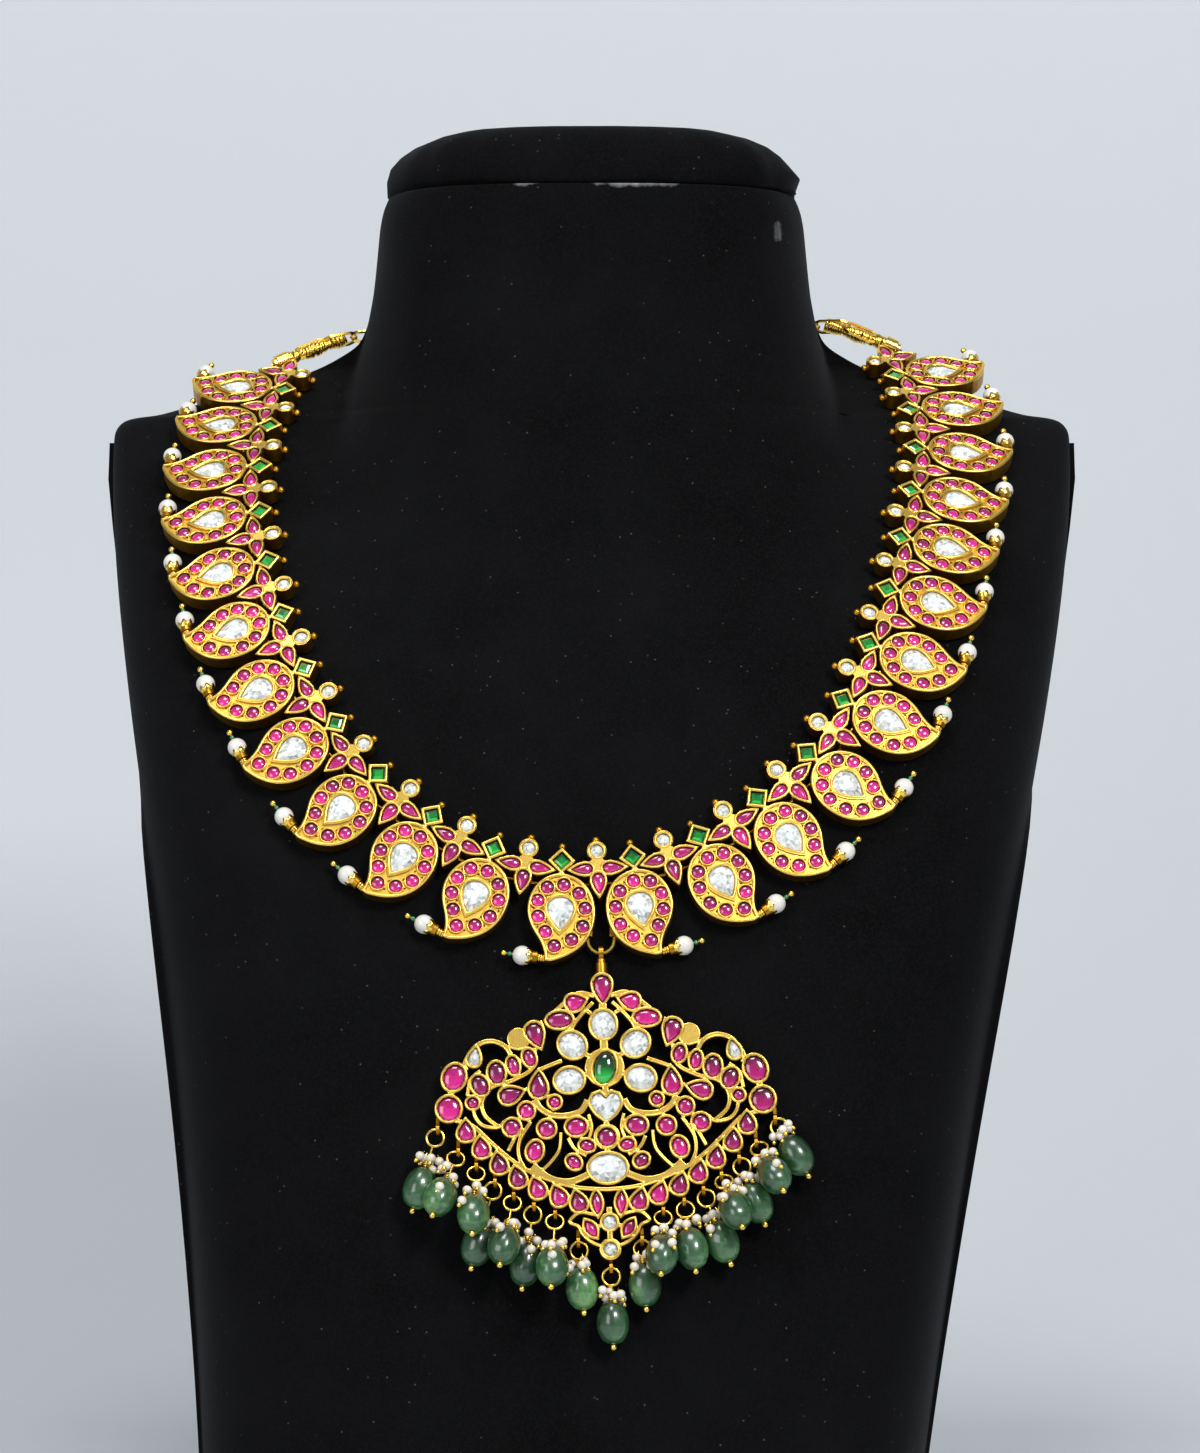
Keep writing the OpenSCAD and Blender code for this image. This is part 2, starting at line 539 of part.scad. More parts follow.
// Height of the velvet over the plate's middle plane at u, v.
function velvet_over(u, v) = let (p = placed(PLATE, [u, -v, 0])) (back_y - seat(p.x, p.z) - p.y) * OFF.y;

// Stones of one half: [u, v, width, length, turn of the long axis, tip, foot].
SIDE_RUBIES = [
  [6.7, 12.6, 3.9, 4.9, 75, 1, 0], [10.9, 17, 3.9, 6.2, 88, 0, 0], [17, 20.7, 4.2, 6.3, 160, 1, 0],
  [37.6, 30.8, 5.2, 6.5, 20, 0, 0], [39.1, 38.7, 5.6, 5.9, 0, 0, 0],
  [31.2, 33, 3.7, 5, -25, 0, 0], [27, 30, 3.9, 5.3, -5, 0, 0], [18.7, 26.4, 2.8, 4.2, -18, 0, 0],
  [23.4, 35.6, 3.9, 5.8, 72, 1, 0], [16.6, 33.3, 4.1, 6.4, 2, 1, 0],
  [19.8, 39.8, 3.5, 3.7, 0, 0, 0], [23.5, 43.9, 3.9, 3.9, 0, 0, 0], [14.9, 44.5, 4, 4, 0, 0, 0],
  [7.5, 44.2, 4.2, 4.9, 84, 0, 0], [18, 50, 3.6, 4.8, 18, 0, 0], [8.4, 53.1, 2.9, 3.6, -50, 0, 0],
  [3, 63.5, 2.3, 5.6, -3, 1, 1]];
// Rubies of the lower border, from the outside in: [u, v, turn].
BORDER_RUBIES = [[35, 44.4, 0], [31.3, 48.7, -6], [27, 52.8, -10], [22.5, 56.4, -14], [17.7, 59.3, -18],
  [12.5, 61.4, -22], [7.6, 62.9, -16]];
border_w = 3.7;
border_l = 4.9;
// Rubies too fine to stand alone: only their pockets are here.
FINE_RUBIES = [[22.8, 28.2, 2.6, 4.4, -12, 0, 0], [12.7, 37.8, 2.7, 2.7, 0, 0, 0],
  [33.1, 37.4, 2.6, 2.6, 0, 0, 0], [5, 49, 2.6, 3.4, 100, 0, 0], [4.7, 69.9, 2.4, 4.6, -33, 1, 1]];
MIDDLE_RUBIES = [[0, 9.4, 4.4, 7, 180, 1, 0], [0, 47, 4.4, 4.5, 0, 0, 0]];
SIDE_KUNDANS = [[7.9, 23.5, 6.1, 6.8, -50, 0, 0], [8.9, 32.4, 5.9, 7, 82, 0, 0],
  [32.4, 25.7, 2.9, 4.5, 12, 1, 0]];
MIDDLE_KUNDANS = [[0, 18.5, 6.1, 7, 0, 0, 0], [0, 54.8, 9.3, 7, 0, 0, 0], [0, 68.4, 3.4, 3.4, 0, 0, 0],
  [0, 75.1, 3.3, 3.3, 0, 0, 0]];
heart_at = [0, -39.3 * part];
heart_size = [7.4 * part, 6.9 * part];
emerald_at = [0, -29.5 * part];
emerald_size = [5.4 * part, 8.2 * part];
emerald_turn = -12;
BORDER_FULL = [for (r = BORDER_RUBIES) [r[0], r[1], border_w, border_l, r[2], 1, 0]];

// Place and outline of the stone in row r of a table.
function stone_at(r) = [r[0] * part, -r[1] * part];
function stone_shape(r) = gem(r[2] * part, r[3] * part, r[5], r[6], n = 12);
module outline(r, grow) translate(stone_at(r)) rotate(r[4])
  offset(delta = grow) polygon(stone_shape(r));
module both() {
  children();
  mirror([1, 0, 0]) children();
}
module all_outlines(grow) {
  both() for (r = concat(SIDE_RUBIES, BORDER_FULL, FINE_RUBIES, SIDE_KUNDANS)) outline(r, grow);
  for (r = concat(MIDDLE_RUBIES, MIDDLE_KUNDANS)) outline(r, grow);
  translate(heart_at) offset(delta = grow) polygon(heart(heart_size.x, heart_size.y));
}
module emerald_outline(grow) translate(emerald_at) rotate(emerald_turn) offset(delta = grow)
  polygon(gem(emerald_size.x, emerald_size.y, n = 12));

// A flat gold strip along a curve through the points [u, v].
module strip(pts, w) {
  path = curve([for (p = pts) [p[0] * part, -p[1] * part]], 4);
  n = len(path);
  sides = [for (i = [0:n - 1]) let (run = unit(path[min(i + 1, n - 1)] - path[max(i - 1, 0)]))
    w * part / 2 * [-run.y, run.x]];
  polygon(concat([for (i = [0:n - 1]) path[i] + sides[i]], [for (i = [n - 1:-1:0]) path[i] - sides[i]]));
}
// Scrollwork of one half: [width, points].
SCROLLS = [
  [1.1, [[2, 11.2], [6.2, 10.4], [10.6, 13.6], [14.6, 17.2], [17.5, 18.2]]],
  [0.9, [[2.4, 12.8], [5.2, 15.6], [7.4, 18.4], [8, 20.2]]],
  [1.2, [[22.9, 26.6], [24.6, 23.4], [28, 21.9], [31.6, 22.8], [34, 25.6], [35, 28]]],
  [1, [[17.2, 24], [18, 29], [23, 32], [28.3, 33.6], [30.7, 37], [30.2, 40.6], [27.2, 43.4]]],
  [0.9, [[31.4, 35.6], [32.9, 39.6], [31, 43], [27.2, 43.8], [25.4, 42.4]]],
  [1, [[10.6, 27.4], [13.4, 28.4], [16.4, 29.6]]],
  [1, [[37.6, 41.8], [33.5, 43], [28.9, 47.4], [24.6, 51.4], [19.6, 55], [13.6, 57.7], [7, 59.6],
    [0, 60.2]]],
  [1.7, [[5, 56.4], [9.6, 58], [14.4, 57], [18.6, 53.6]]],
  [1.5, [[4.6, 37.6], [6.2, 40.2], [9.4, 41.3], [12.8, 41.2], [16, 39.6], [17.6, 37]]],
  [0.8, [[4.4, 41.2], [3.7, 44.6], [4.6, 47.6]]],
  [0.8, [[11.4, 45.6], [12, 50], [14.8, 53.6], [17.4, 55.6]]],
  [0.9, [[18.8, 42.6], [21.6, 47], [22, 51], [20.6, 54.4]]],
  [0.9, [[9.6, 47], [8.2, 49.6], [5.2, 51.6]]],
  [0.9, [[31, 29.4], [33.4, 31.4], [34.4, 35.6]]],
  [0.8, [[3.6, 66.4], [7.4, 65.8], [9.9, 68], [7.8, 69.2], [6.7, 71.3], [4.6, 73.2], [2, 74.4]]],
  [0.9, [[22.2, 45.2], [24.6, 49.8]]]];
// Short bars that join neighbouring settings: [width, points].
JOINTS = [
  [2, [[0, 13.2], [0, 15.2]]], [2, [[0, 22.2], [0, 25.2]]], [1.6, [[0, 33.8], [0, 36.6]]],
  [1.4, [[0, 42.6], [0, 45]]], [1.4, [[0, 49.4], [0, 51.6]]], [1.4, [[0, 64.6], [0, 67]]],
  [1.4, [[0, 70.2], [0, 73]]], [1, [[1.6, 69], [3.6, 69.6]]], [1.2, [[3.6, 26.6], [5.8, 25.2]]],
  [1.4, [[4.2, 31], [6.4, 31.6]]], [1.6, [[38.2, 33.8], [38.7, 36]]], [1.2, [[34.2, 28.4], [36, 29.4]]],
  [1, [[4.6, 14.6], [3, 15.6]]]];
joint_fill = 0.3;
lobe_at = [21.3 * part, -21.6 * part];
lobe_r = 2.9 * part;
drop_eyes_at = [[42, 43.7], [37, 49.5], [32.6, 53.3], [28.1, 57.4], [23.5, 60.9], [18.6, 63.6], [13.4, 65.8],
  [7.9, 72.9]];
bottom_eye = [0, 79.6];

module pendant_outline() {
  offset(delta = -joint_fill) offset(delta = joint_fill) {
    all_outlines(wall);
    translate(emerald_at) circle(r = 5 * part, $fn = 14);
    both() {
      for (s = SCROLLS) strip(s[1], s[0]);
      translate(lobe_at) circle(r = lobe_r, $fn = 12);
    }
  }
  both() for (s = JOINTS) strip(s[1], s[0]);
  for (r = [MIDDLE_KUNDANS[3], MIDDLE_RUBIES[1]])
    translate(stone_at(r)) circle(r = (r[3] / 2 + 1.1) * part, $fn = 12);
}
eye_t = 0.8;
drop_eye_r = 1.45;
drop_eye_hole = 0.8;
// Small eye on the border, its hole across the pendant.
module drop_eye(p) translate([p[0] * part, -p[1] * part, 0]) rotate([0, 90, 0]) difference() {
  union() {
    cylinder(r = drop_eye_r, h = eye_t, center = true, $fn = ARC);
    translate([0, 0, -eye_t / 2]) cube([1.2, 3, eye_t]);
  }
  cylinder(r = drop_eye_hole, h = 2, center = true, $fn = ARC);
}
loop_r = 1.8;
loop_hole = 0.98;
// The loop's shank runs into the setting of the topmost ruby.
shank_top = 2.7;
shank_foot = (MIDDLE_RUBIES[0][1] - MIDDLE_RUBIES[0][3] / 2) * part - wall + 0.15;
module pendant_loop() {
  difference() {
    union() {
      rotate([0, 90, 0]) cylinder(r = loop_r, h = 1.1, center = true, $fn = ARC);
      translate([0, -loop_r - 0.4, 0]) rotate([90, 0, 0])
        cylinder(r = 1.1, h = 1.2, center = true, $fn = ARC);
      translate([0, -shank_top, 0]) rotate([90, 0, 0])
        cylinder(r = 1.5, h = shank_foot - shank_top, $fn = ARC);
    }
    rotate([0, 90, 0]) cylinder(r = loop_hole, h = 3, center = true, $fn = ARC);
  }
}
module on_pendant() multmatrix(PLATE) children();
module pendant_frame() color("goldenrod") on_pendant() {
  difference() {
    linear_extrude(plate_t, center = true) pendant_outline();
    linear_extrude(plate_t) {
      all_outlines(play);
      emerald_outline(play);
    }
  }
  pendant_loop();
  for (p = drop_eyes_at) for (side = [-1, 1]) drop_eye([side * p[0], p[1]]);
  drop_eye(bottom_eye);
}
stone_proud = 0.5;
module pendant_stone(r) translate([stone_at(r).x, stone_at(r).y, play]) rotate(r[4])
  cut_stone(stone_shape(r), plate_t / 2 + stone_proud);
module pendant_rubies() color("mediumvioletred") on_pendant() {
  both() for (r = concat(SIDE_RUBIES, BORDER_FULL)) pendant_stone(r);
  for (r = MIDDLE_RUBIES) pendant_stone(r);
}
module pendant_kundans() color("lavender") on_pendant() {
  both() for (r = SIDE_KUNDANS) pendant_stone(r);
  for (r = MIDDLE_KUNDANS) pendant_stone(r);
  translate([heart_at.x, heart_at.y, play])
    cut_stone(heart(heart_size.x, heart_size.y), plate_t / 2 + stone_proud);
}
module pendant_emerald() color("darkgreen") on_pendant() translate([emerald_at.x, emerald_at.y, play])
  rotate(emerald_turn) cut_stone(gem(emerald_size.x, emerald_size.y, n = 12), plate_t / 2 + 2 * stone_proud);

// Ring between the two middle mangoes, and the lugs that hold its ends

ring_side = 4.9;
lug = [3.6, 2.2, 2.2];
MIDDLE_MANGOES = [for (k = [-1, 0])
  placed(MANGO_FRAMES[mangoes_a_side + k], [0, mango_top + mango_l / 2, unit_t / 2])];
RING_UP = unit([0, (MIDDLE_MANGOES[0] + MIDDLE_MANGOES[1]).y / 2 - HINGE.y,
  (MIDDLE_MANGOES[0] + MIDDLE_MANGOES[1]).z / 2 - HINGE.z]);
RING = frame(HINGE, [1, 0, 0], RING_UP, cross([1, 0, 0], RING_UP));
RING_PATH = concat([[-ring_r, ring_r + 2.4]],
  [for (a = [180:22.5:360]) [ring_r * cos(a), ring_r + ring_r * sin(a)]],
  [[ring_r, ring_r + 2.4]]);
module centre_ring() color("goldenrod") multmatrix(RING)
  wire([for (p = RING_PATH) [p.x, p.y, 0]], [for (p = RING_PATH) [0, 0, 1]], ring_wire / 2, 6);
module ring_lug(side) multmatrix(RING) translate([
    side > 0 ? ring_r - lug.y / 2 : -ring_r + lug.y / 2 - lug.x,
    ring_side - lug.y / 2 + 0.4,
    -lug.z / 2])
  cube(lug);
module ring_bore(side) multmatrix(RING) translate([side * ring_r, ring_r - 1.2, 0])
  rotate([-90, 0, 0]) cylinder(d = ring_wire + 0.5, h = 4.3, $fn = ARC);

// Drops: [u, v of the bead's middle, layer off the velvet], for the eyes from left to right

DROPS = [[-46.8, 58.3, 0], [-41.6, 61.7, 1], [-33.5, 66.2, 1], [-32.8, 72.9, 0], [-26.2, 74, 1],
  [-21.1, 78.1, 0], [-14.5, 79.6, 1], [-7.3, 84.4, 0], [0, 93, 0], [8.2, 84, 0], [12.5, 77.7, 1.1],
  [20.05, 75.85, 0.43], [27.7, 73.9, 0], [31, 67.3, 1.06], [36.4, 64.4, 0], [40.9, 58.8, 1],
  [46.8, 53, 0]];
layer_step = 6.1;
// Drops spread with a wider pendant, and don't crowd under a narrower one.
spread = max(1, part);
DROP_EYES = concat([for (p = drop_eyes_at) [-p[0], p[1]]], [bottom_eye],
  [for (i = [len(drop_eyes_at) - 1:-1:0]) drop_eyes_at[i]]);
bead_gap = 0.4;
bead_bore = 1;
jump_wire = 0.7;
jump_r = (jump_d - jump_wire) / 2;
function drop_eye_point(i) = [DROP_EYES[i][0] * part, -DROP_EYES[i][1] * part, 0];
function bead_point(i) = let (u = DROPS[i][0] * spread, v = DROPS[i][1] * spread)
  [u, -v, velvet_over(u, v) + drop_w / 2 + bead_gap + layer_step * DROPS[i][2]];
function drop_dir(i) = unit(bead_point(i) - drop_eye_point(i));
module drop_beads() color("seagreen") on_pendant() for (i = [0:len(DROPS) - 1])
  multmatrix(along(bead_point(i), drop_dir(i), [0, 0, 1])) drilled_bead(drop_w, drop_l, bead_bore);
// Jump ring through its eye, with the wire that goes down through the bead to a gold ball.
module drop_wires() color("gold") on_pendant() for (i = [0:len(DROPS) - 1])
  multmatrix(along(drop_eye_point(i), drop_dir(i), [0, 0, 1])) {
    reach = norm(bead_point(i) - drop_eye_point(i)) + drop_l / 2;
    translate([0, 0, jump_r]) rotate([90, 0, 0])
      rotate_extrude($fn = ROUND) translate([jump_r, 0]) circle(d = jump_wire, $fn = ARC);
    translate([0, 0, 2 * jump_r - 0.1]) cylinder(d = pin_d, h = reach + 0.8 - 2 * jump_r, $fn = ARC);
    translate([0, 0, reach + 0.7]) shot(0.8);
  }

// Bust: a velvet form, its back board and the cap on the neck

module bust_form() color("dimgray") skin([for (r = BUST_ROWS) section(r[0], r[1])]);
module bust_board() color("dimgray") {
  rows = [for (q = CHEST_ROWS) q * shoulder_h * 0.985];
  translate([0, back_y, 0]) rotate([90, 0, 0]) linear_extrude(board_t) polygon(concat(
    [for (z = rows) [drift(z) + chest_half(z) + board_lip, z]],
    [for (i = [len(rows) - 1:-1:0]) [drift(rows[i]) - chest_half(rows[i]) - board_lip, rows[i]]]));
}
module bust_cap() color("dimgray") skin([for (r = CAP_ROWS) [for (p = section(neck_top, neck_half_w))
  let (mid = back_y - (neck_depth + board_t) / 2)
  [p.x * r[1], mid + (p.y - mid) * r[1], neck_top + seam + r[0] * cap_t]]]);

bust_form();
bust_board();
bust_cap();
mango(0);  // mango_l12
mango(1);  // mango_l11
mango(2);  // mango_l10
mango(3);  // mango_l09
mango(4);  // mango_l08
mango(5);  // mango_l07
mango(6);  // mango_l06
mango(7);  // mango_l05
mango(8);  // mango_l04
mango(9);  // mango_l03
mango(10);  // mango_l02
ring_mango(11, -1);  // mango_l01
ring_mango(12, 1);  // mango_r01
mango(13);  // mango_r02
mango(14);  // mango_r03
mango(15);  // mango_r04
mango(16);  // mango_r05
mango(17);  // mango_r06
mango(18);  // mango_r07
mango(19);  // mango_r08
mango(20);  // mango_r09
mango(21);  // mango_r10
mango(22);  // mango_r11
mango(23);  // mango_r12
flower_links();
mango_kundans();
square_emeralds();
tip_pearls();
stringing_wire();
chain_end(LEFT_END, LEFT_DIR, -45);  // chain_end_left
chain_end(RIGHT_END, RIGHT_DIR, 45);  // chain_end_right
back_chain();
clasp_hook();
centre_ring();
pendant_frame();
pendant_kundans();
pendant_emerald();
pendant_rubies();
drop_beads();
drop_wires();
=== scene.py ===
# %% [markdown]
# A kundan necklace on its velvet neck bust.
# The goldsmith's pieces come in as a fixed frame, already at their real size.
# Blender adds what the eye needs: foil-backed stones, rounded gold collars, pearls, beads and velvet.
# Everything is in metres, and small sizes are written as millimetres times MM.

# %% Load the frame
import math
import random

import bmesh
import bpy
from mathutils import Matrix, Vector


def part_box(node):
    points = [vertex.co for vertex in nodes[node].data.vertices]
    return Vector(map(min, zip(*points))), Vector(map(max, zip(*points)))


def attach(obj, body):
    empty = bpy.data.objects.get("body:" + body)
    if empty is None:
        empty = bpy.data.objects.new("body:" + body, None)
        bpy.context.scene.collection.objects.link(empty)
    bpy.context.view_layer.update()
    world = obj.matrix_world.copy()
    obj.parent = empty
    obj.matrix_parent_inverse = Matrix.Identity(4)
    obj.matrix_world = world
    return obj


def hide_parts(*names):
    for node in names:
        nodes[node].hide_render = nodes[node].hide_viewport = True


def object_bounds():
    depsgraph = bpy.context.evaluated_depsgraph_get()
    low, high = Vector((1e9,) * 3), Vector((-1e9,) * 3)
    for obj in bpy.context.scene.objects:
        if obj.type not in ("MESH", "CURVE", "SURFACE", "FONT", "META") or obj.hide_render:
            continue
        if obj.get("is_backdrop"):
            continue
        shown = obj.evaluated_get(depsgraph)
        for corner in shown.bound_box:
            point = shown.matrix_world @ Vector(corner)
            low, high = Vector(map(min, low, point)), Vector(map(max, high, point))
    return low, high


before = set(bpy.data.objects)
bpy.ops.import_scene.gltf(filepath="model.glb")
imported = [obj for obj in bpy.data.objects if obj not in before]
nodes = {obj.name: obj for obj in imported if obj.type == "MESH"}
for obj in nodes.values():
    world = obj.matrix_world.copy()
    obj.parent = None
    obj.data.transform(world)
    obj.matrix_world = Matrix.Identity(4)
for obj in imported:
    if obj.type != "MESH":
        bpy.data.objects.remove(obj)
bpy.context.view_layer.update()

MM = 0.001
NECKLACE, PENDANT = "necklace_on_bust", "pendant"


def placed(name, data):
    """New object with this data, put in the scene."""
    thing = bpy.data.objects.new(name, data)
    bpy.context.scene.collection.objects.link(thing)
    return thing

# %% [markdown]
# Every finish below is a small graph of shader nodes, so the steps that repeat become helpers first:
# add a node, connect it, draw a noise, stretch a value, do a sum, and blend two colours.

# %% Helpers for materials
def connect(tree, node, inputs):
    """Each named input of a node gets a plain value, or a link from another node's output."""
    for key, value in inputs.items():
        if isinstance(value, bpy.types.NodeSocket):
            tree.links.new(value, node.inputs[key])
        else:
            node.inputs[key].default_value = value
    return node


def add(tree, kind, inputs=None, **settings):
    """New node with its own options set and its inputs connected."""
    node = tree.nodes.new(kind)
    for key, value in settings.items():
        setattr(node, key, value)
    return connect(tree, node, inputs or {})


def surface(name):
    """New material, its node tree and its shader."""
    material = bpy.data.materials.new(name)
    material.use_nodes = True
    return material, material.node_tree, material.node_tree.nodes["Principled BSDF"]


def noise(tree, scale, values):
    """Soft cloud of values from 0 to 1 that stays fixed to the object."""
    place = add(tree, "ShaderNodeTexCoord").outputs["Object"]
    return add(tree, "ShaderNodeTexNoise", {"Vector": place, "Scale": scale, **values}).outputs["Fac"]


def stretch(tree, value, low, high, bottom=0, top=1):
    """What runs from low to high now runs from bottom to top."""
    return add(tree, "ShaderNodeMapRange", {"Value": value, "From Min": low, "From Max": high,
                                            "To Min": bottom, "To Max": top}).outputs["Result"]


def sums(tree, operation, a, b):
    """One sum on two values."""
    return add(tree, "ShaderNodeMath", {0: a, 1: b}, operation=operation).outputs[0]


def blend(tree, share, a, b):
    """Mix of two colours by a share that changes over the surface."""
    return add(tree, "ShaderNodeMix", {"Factor": share, "A": a, "B": b}, data_type="RGBA").outputs["Result"]


print("materials so far", len(bpy.data.materials))

# %% [markdown]
# The camera stands where the photograph was taken: level with the middle of the necklace,
# and 1.2 m in front of the pendant. A long lens at that distance keeps the bust's sides nearly straight.
# The size of the frame is the long side's, so the lens is worked out for the height of the picture.

# %% Camera
EYE = Vector((2.25, -1256.25, 208)) * MM
LENS_MM, SENSOR_MM = 118.9, 36
camera = placed("camera", bpy.data.cameras.new("camera"))
camera.location = EYE
camera.rotation_euler = (math.pi / 2, 0, 0)
camera.data.lens = LENS_MM
camera.data.sensor_width = SENSOR_MM
camera.data.clip_end = 50
bpy.context.scene.camera = camera
print("camera", tuple(round(v, 3) for v in camera.location))

# %% [markdown]
# The room is a pale floor that curves up into a pale wall, as paper does in a photographer's studio.
# One swept sheet has no corner, so it throws no dark line behind the bust.
# Its back is clear and a flat floor goes on behind it, so the bust can also be seen from behind.

# %% Floor and wall
ROOM_HALF = 6
WALL_AT, FLOOR_FRONT, WALL_H, COVE_R, COVE_STEPS = 0.55, -6, 2.6, 0.35, 8
MOTTLE_SCALE, MOTTLE_SHADE = 3, 0.9


def wall_paint(name, colour, roughness):
    """Matt paint with a faint mottle, clear from behind."""
    material, tree, shader = surface(name)
    cloud = add(tree, "ShaderNodeTexNoise", {"Scale": MOTTLE_SCALE}).outputs["Fac"]
    darker = (*[MOTTLE_SHADE * c for c in colour], 1)
    connect(tree, shader, {"Roughness": roughness, "Base Color": blend(tree, cloud, (*colour, 1), darker)})
    side = add(tree, "ShaderNodeNewGeometry")
    clear = add(tree, "ShaderNodeBsdfTransparent")
    choose = add(tree, "ShaderNodeMixShader", {"Fac": side.outputs["Backfacing"],
                                               1: shader.outputs["BSDF"], 2: clear.outputs["BSDF"]})
    connect(tree, tree.nodes["Material Output"], {"Surface": choose.outputs["Shader"]})
    return material


def swept(name, line, material):
    """Sheet swept sideways from a line of (y, z) points."""
    verts = [(x, y, z) for y, z in line for x in (-ROOM_HALF, ROOM_HALF)]
    faces = [(2 * i, 2 * i + 1, 2 * i + 3, 2 * i + 2) for i in range(len(line) - 1)]
    mesh = bpy.data.meshes.new(name)
    mesh.from_pydata(verts, [], faces)
    mesh.polygons.foreach_set("use_smooth", [True] * len(faces))
    mesh.materials.append(material)
    sheet = placed(name, mesh)
    sheet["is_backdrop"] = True


paint = wall_paint("pale wall paint", (0.66, 0.69, 0.72), 0.8)
front_line = [(FLOOR_FRONT, 0), (WALL_AT - COVE_R, 0)]
for i in range(1, COVE_STEPS + 1):
    a = math.pi / 2 * i / COVE_STEPS
    front_line.append((WALL_AT - COVE_R + COVE_R * math.sin(a), COVE_R - COVE_R * math.cos(a)))
swept("room", [*front_line, (WALL_AT, WALL_H)], paint)
swept("floor_behind", [(WALL_AT - COVE_R, -MM / 2), (-FLOOR_FRONT, -MM / 2)], paint)
print("room", round(2 * ROOM_HALF, 1), "m wide")

# %% [markdown]
# Three soft square lamps: the key stands high in front on the right and gives the stones their small
# highlights, a wide dim one on the left opens the shadows, and one overhead lifts the upper edges.
# The pale sky of the room fills the rest. Polished gold needs something bright to mirror,
# so each lamp is wider than the bust.

# %% Lights
# Name, place, side in metres, watts
LAMPS = [("key", (0.62, -1.2, 1.15), 0.42, 17), ("fill", (-0.95, -1.2, 0.6), 0.8, 7),
         ("top", (-0.15, -0.5, 1.5), 0.5, 8)]
AIM = Vector((0, -0.04, 0.2))
SKY, SKY_STRENGTH = (0.86, 0.93, 1, 1), 0.26


def lamp(name, place, size, watts):
    """Square soft box that looks at the necklace."""
    light = bpy.data.lights.new(name, "AREA")
    light.energy = watts
    light.size = size
    thing = placed(name, light)
    thing.location = place
    thing.rotation_euler = (AIM - Vector(place)).to_track_quat("-Z", "Y").to_euler()


for name, place, size, watts in LAMPS:
    lamp(name, place, size, watts)
world = bpy.data.worlds.new("studio")
bpy.context.scene.world = world
world.use_nodes = True
connect(world.node_tree, world.node_tree.nodes["Background"], {"Color": SKY, "Strength": SKY_STRENGTH})
bpy.context.scene.view_settings.view_transform = "Standard"
print(len(LAMPS), "lamps")

# %% [markdown]
# Shader node groups hold the effects that several finishes share.
# "fine grain" is the frosted skin of cast gold, or the pile of velvet, as a bump and a mask.
# "ageing" mixes a clean and a worn colour in soft patches.
# "foil light" paints the light that bright foil behind a stone sends back: dark, body and glow,
# chosen by a level of painted light that each stone carries on its own mesh.

# %% Helper for node groups
def new_group(name, inputs, outputs):
    """Empty shader group with named sockets: (name, type, value) in and (name, type) out."""
    tree = bpy.data.node_groups.new(name, "ShaderNodeTree")
    for label, kind, value in inputs:
        socket = tree.interface.new_socket(name=label, in_out="INPUT", socket_type=kind)
        socket.default_value = value
    for label, kind in outputs:
        tree.interface.new_socket(name=label, in_out="OUTPUT", socket_type=kind)
    return tree, tree.nodes.new("NodeGroupInput"), tree.nodes.new("NodeGroupOutput")


FLOAT, COLOUR, VECTOR = "NodeSocketFloat", "NodeSocketColor", "NodeSocketVector"
print("groups so far", len(bpy.data.node_groups))

# %% Group: fine grain
grain_group, gin, gout = new_group(
    "fine grain", [("Scale", FLOAT, 2500), ("Strength", FLOAT, 0.4), ("Depth", FLOAT, 0.00005)],
    [("Mask", FLOAT), ("Normal", VECTOR)])
small = noise(grain_group, gin.outputs["Scale"], {"Detail": 4})
bump = add(grain_group, "ShaderNodeBump", {"Height": small, "Strength": gin.outputs["Strength"],
                                           "Distance": gin.outputs["Depth"]})
connect(grain_group, gout, {"Mask": small, "Normal": bump.outputs["Normal"]})
print(grain_group.name, "has", len(grain_group.nodes), "nodes")

# %% Group: ageing
age_group, ain, aout = new_group(
    "ageing", [("Clean", COLOUR, (1, 1, 1, 1)), ("Worn", COLOUR, (0, 0, 0, 1)),
               ("Scale", FLOAT, 300), ("Amount", FLOAT, 0.5)],
    [("Color", COLOUR)])
patch = noise(age_group, ain.outputs["Scale"], {"Detail": 5, "Roughness": 0.65})
amount = sums(age_group, "MULTIPLY", stretch(age_group, patch, 0.35, 0.7), ain.outputs["Amount"])
shown = blend(age_group, amount, ain.outputs["Clean"], ain.outputs["Worn"])
connect(age_group, aout, {"Color": shown})
print(age_group.name, "has", len(age_group.nodes), "nodes")

# %% Group: foil light
foil_group, fin, fout = new_group(
    "foil light", [("Dark", COLOUR, (0, 0, 0, 1)), ("Body", COLOUR, (0.5, 0.5, 0.5, 1)),
                   ("Glow", COLOUR, (1, 1, 1, 1)), ("Level", FLOAT, 0.5), ("Crackle", FLOAT, 0.2),
                   ("Scale", FLOAT, 900)],
    [("Color", COLOUR)])
folds = noise(foil_group, fin.outputs["Scale"], {"Detail": 3, "Distortion": 1.2})
crackle = sums(foil_group, "MULTIPLY", sums(foil_group, "SUBTRACT", folds, 0.5), fin.outputs["Crackle"])
level = sums(foil_group, "ADD", crackle, fin.outputs["Level"])
lower = blend(foil_group, stretch(foil_group, level, 0.1, 0.5), fin.outputs["Dark"], fin.outputs["Body"])
whole = blend(foil_group, stretch(foil_group, level, 0.5, 0.95), lower, fin.outputs["Glow"])
connect(foil_group, fout, {"Color": whole})
print("node groups", [g.name for g in bpy.data.node_groups])


# %% Groups placed in a material
def aged(tree, clean, worn, scale, amount):
    """The ageing group placed in a material: its colour."""
    return add(tree, "ShaderNodeGroup", {"Clean": (*clean, 1), "Worn": (*worn, 1), "Scale": scale,
                                         "Amount": amount}, node_tree=age_group).outputs["Color"]


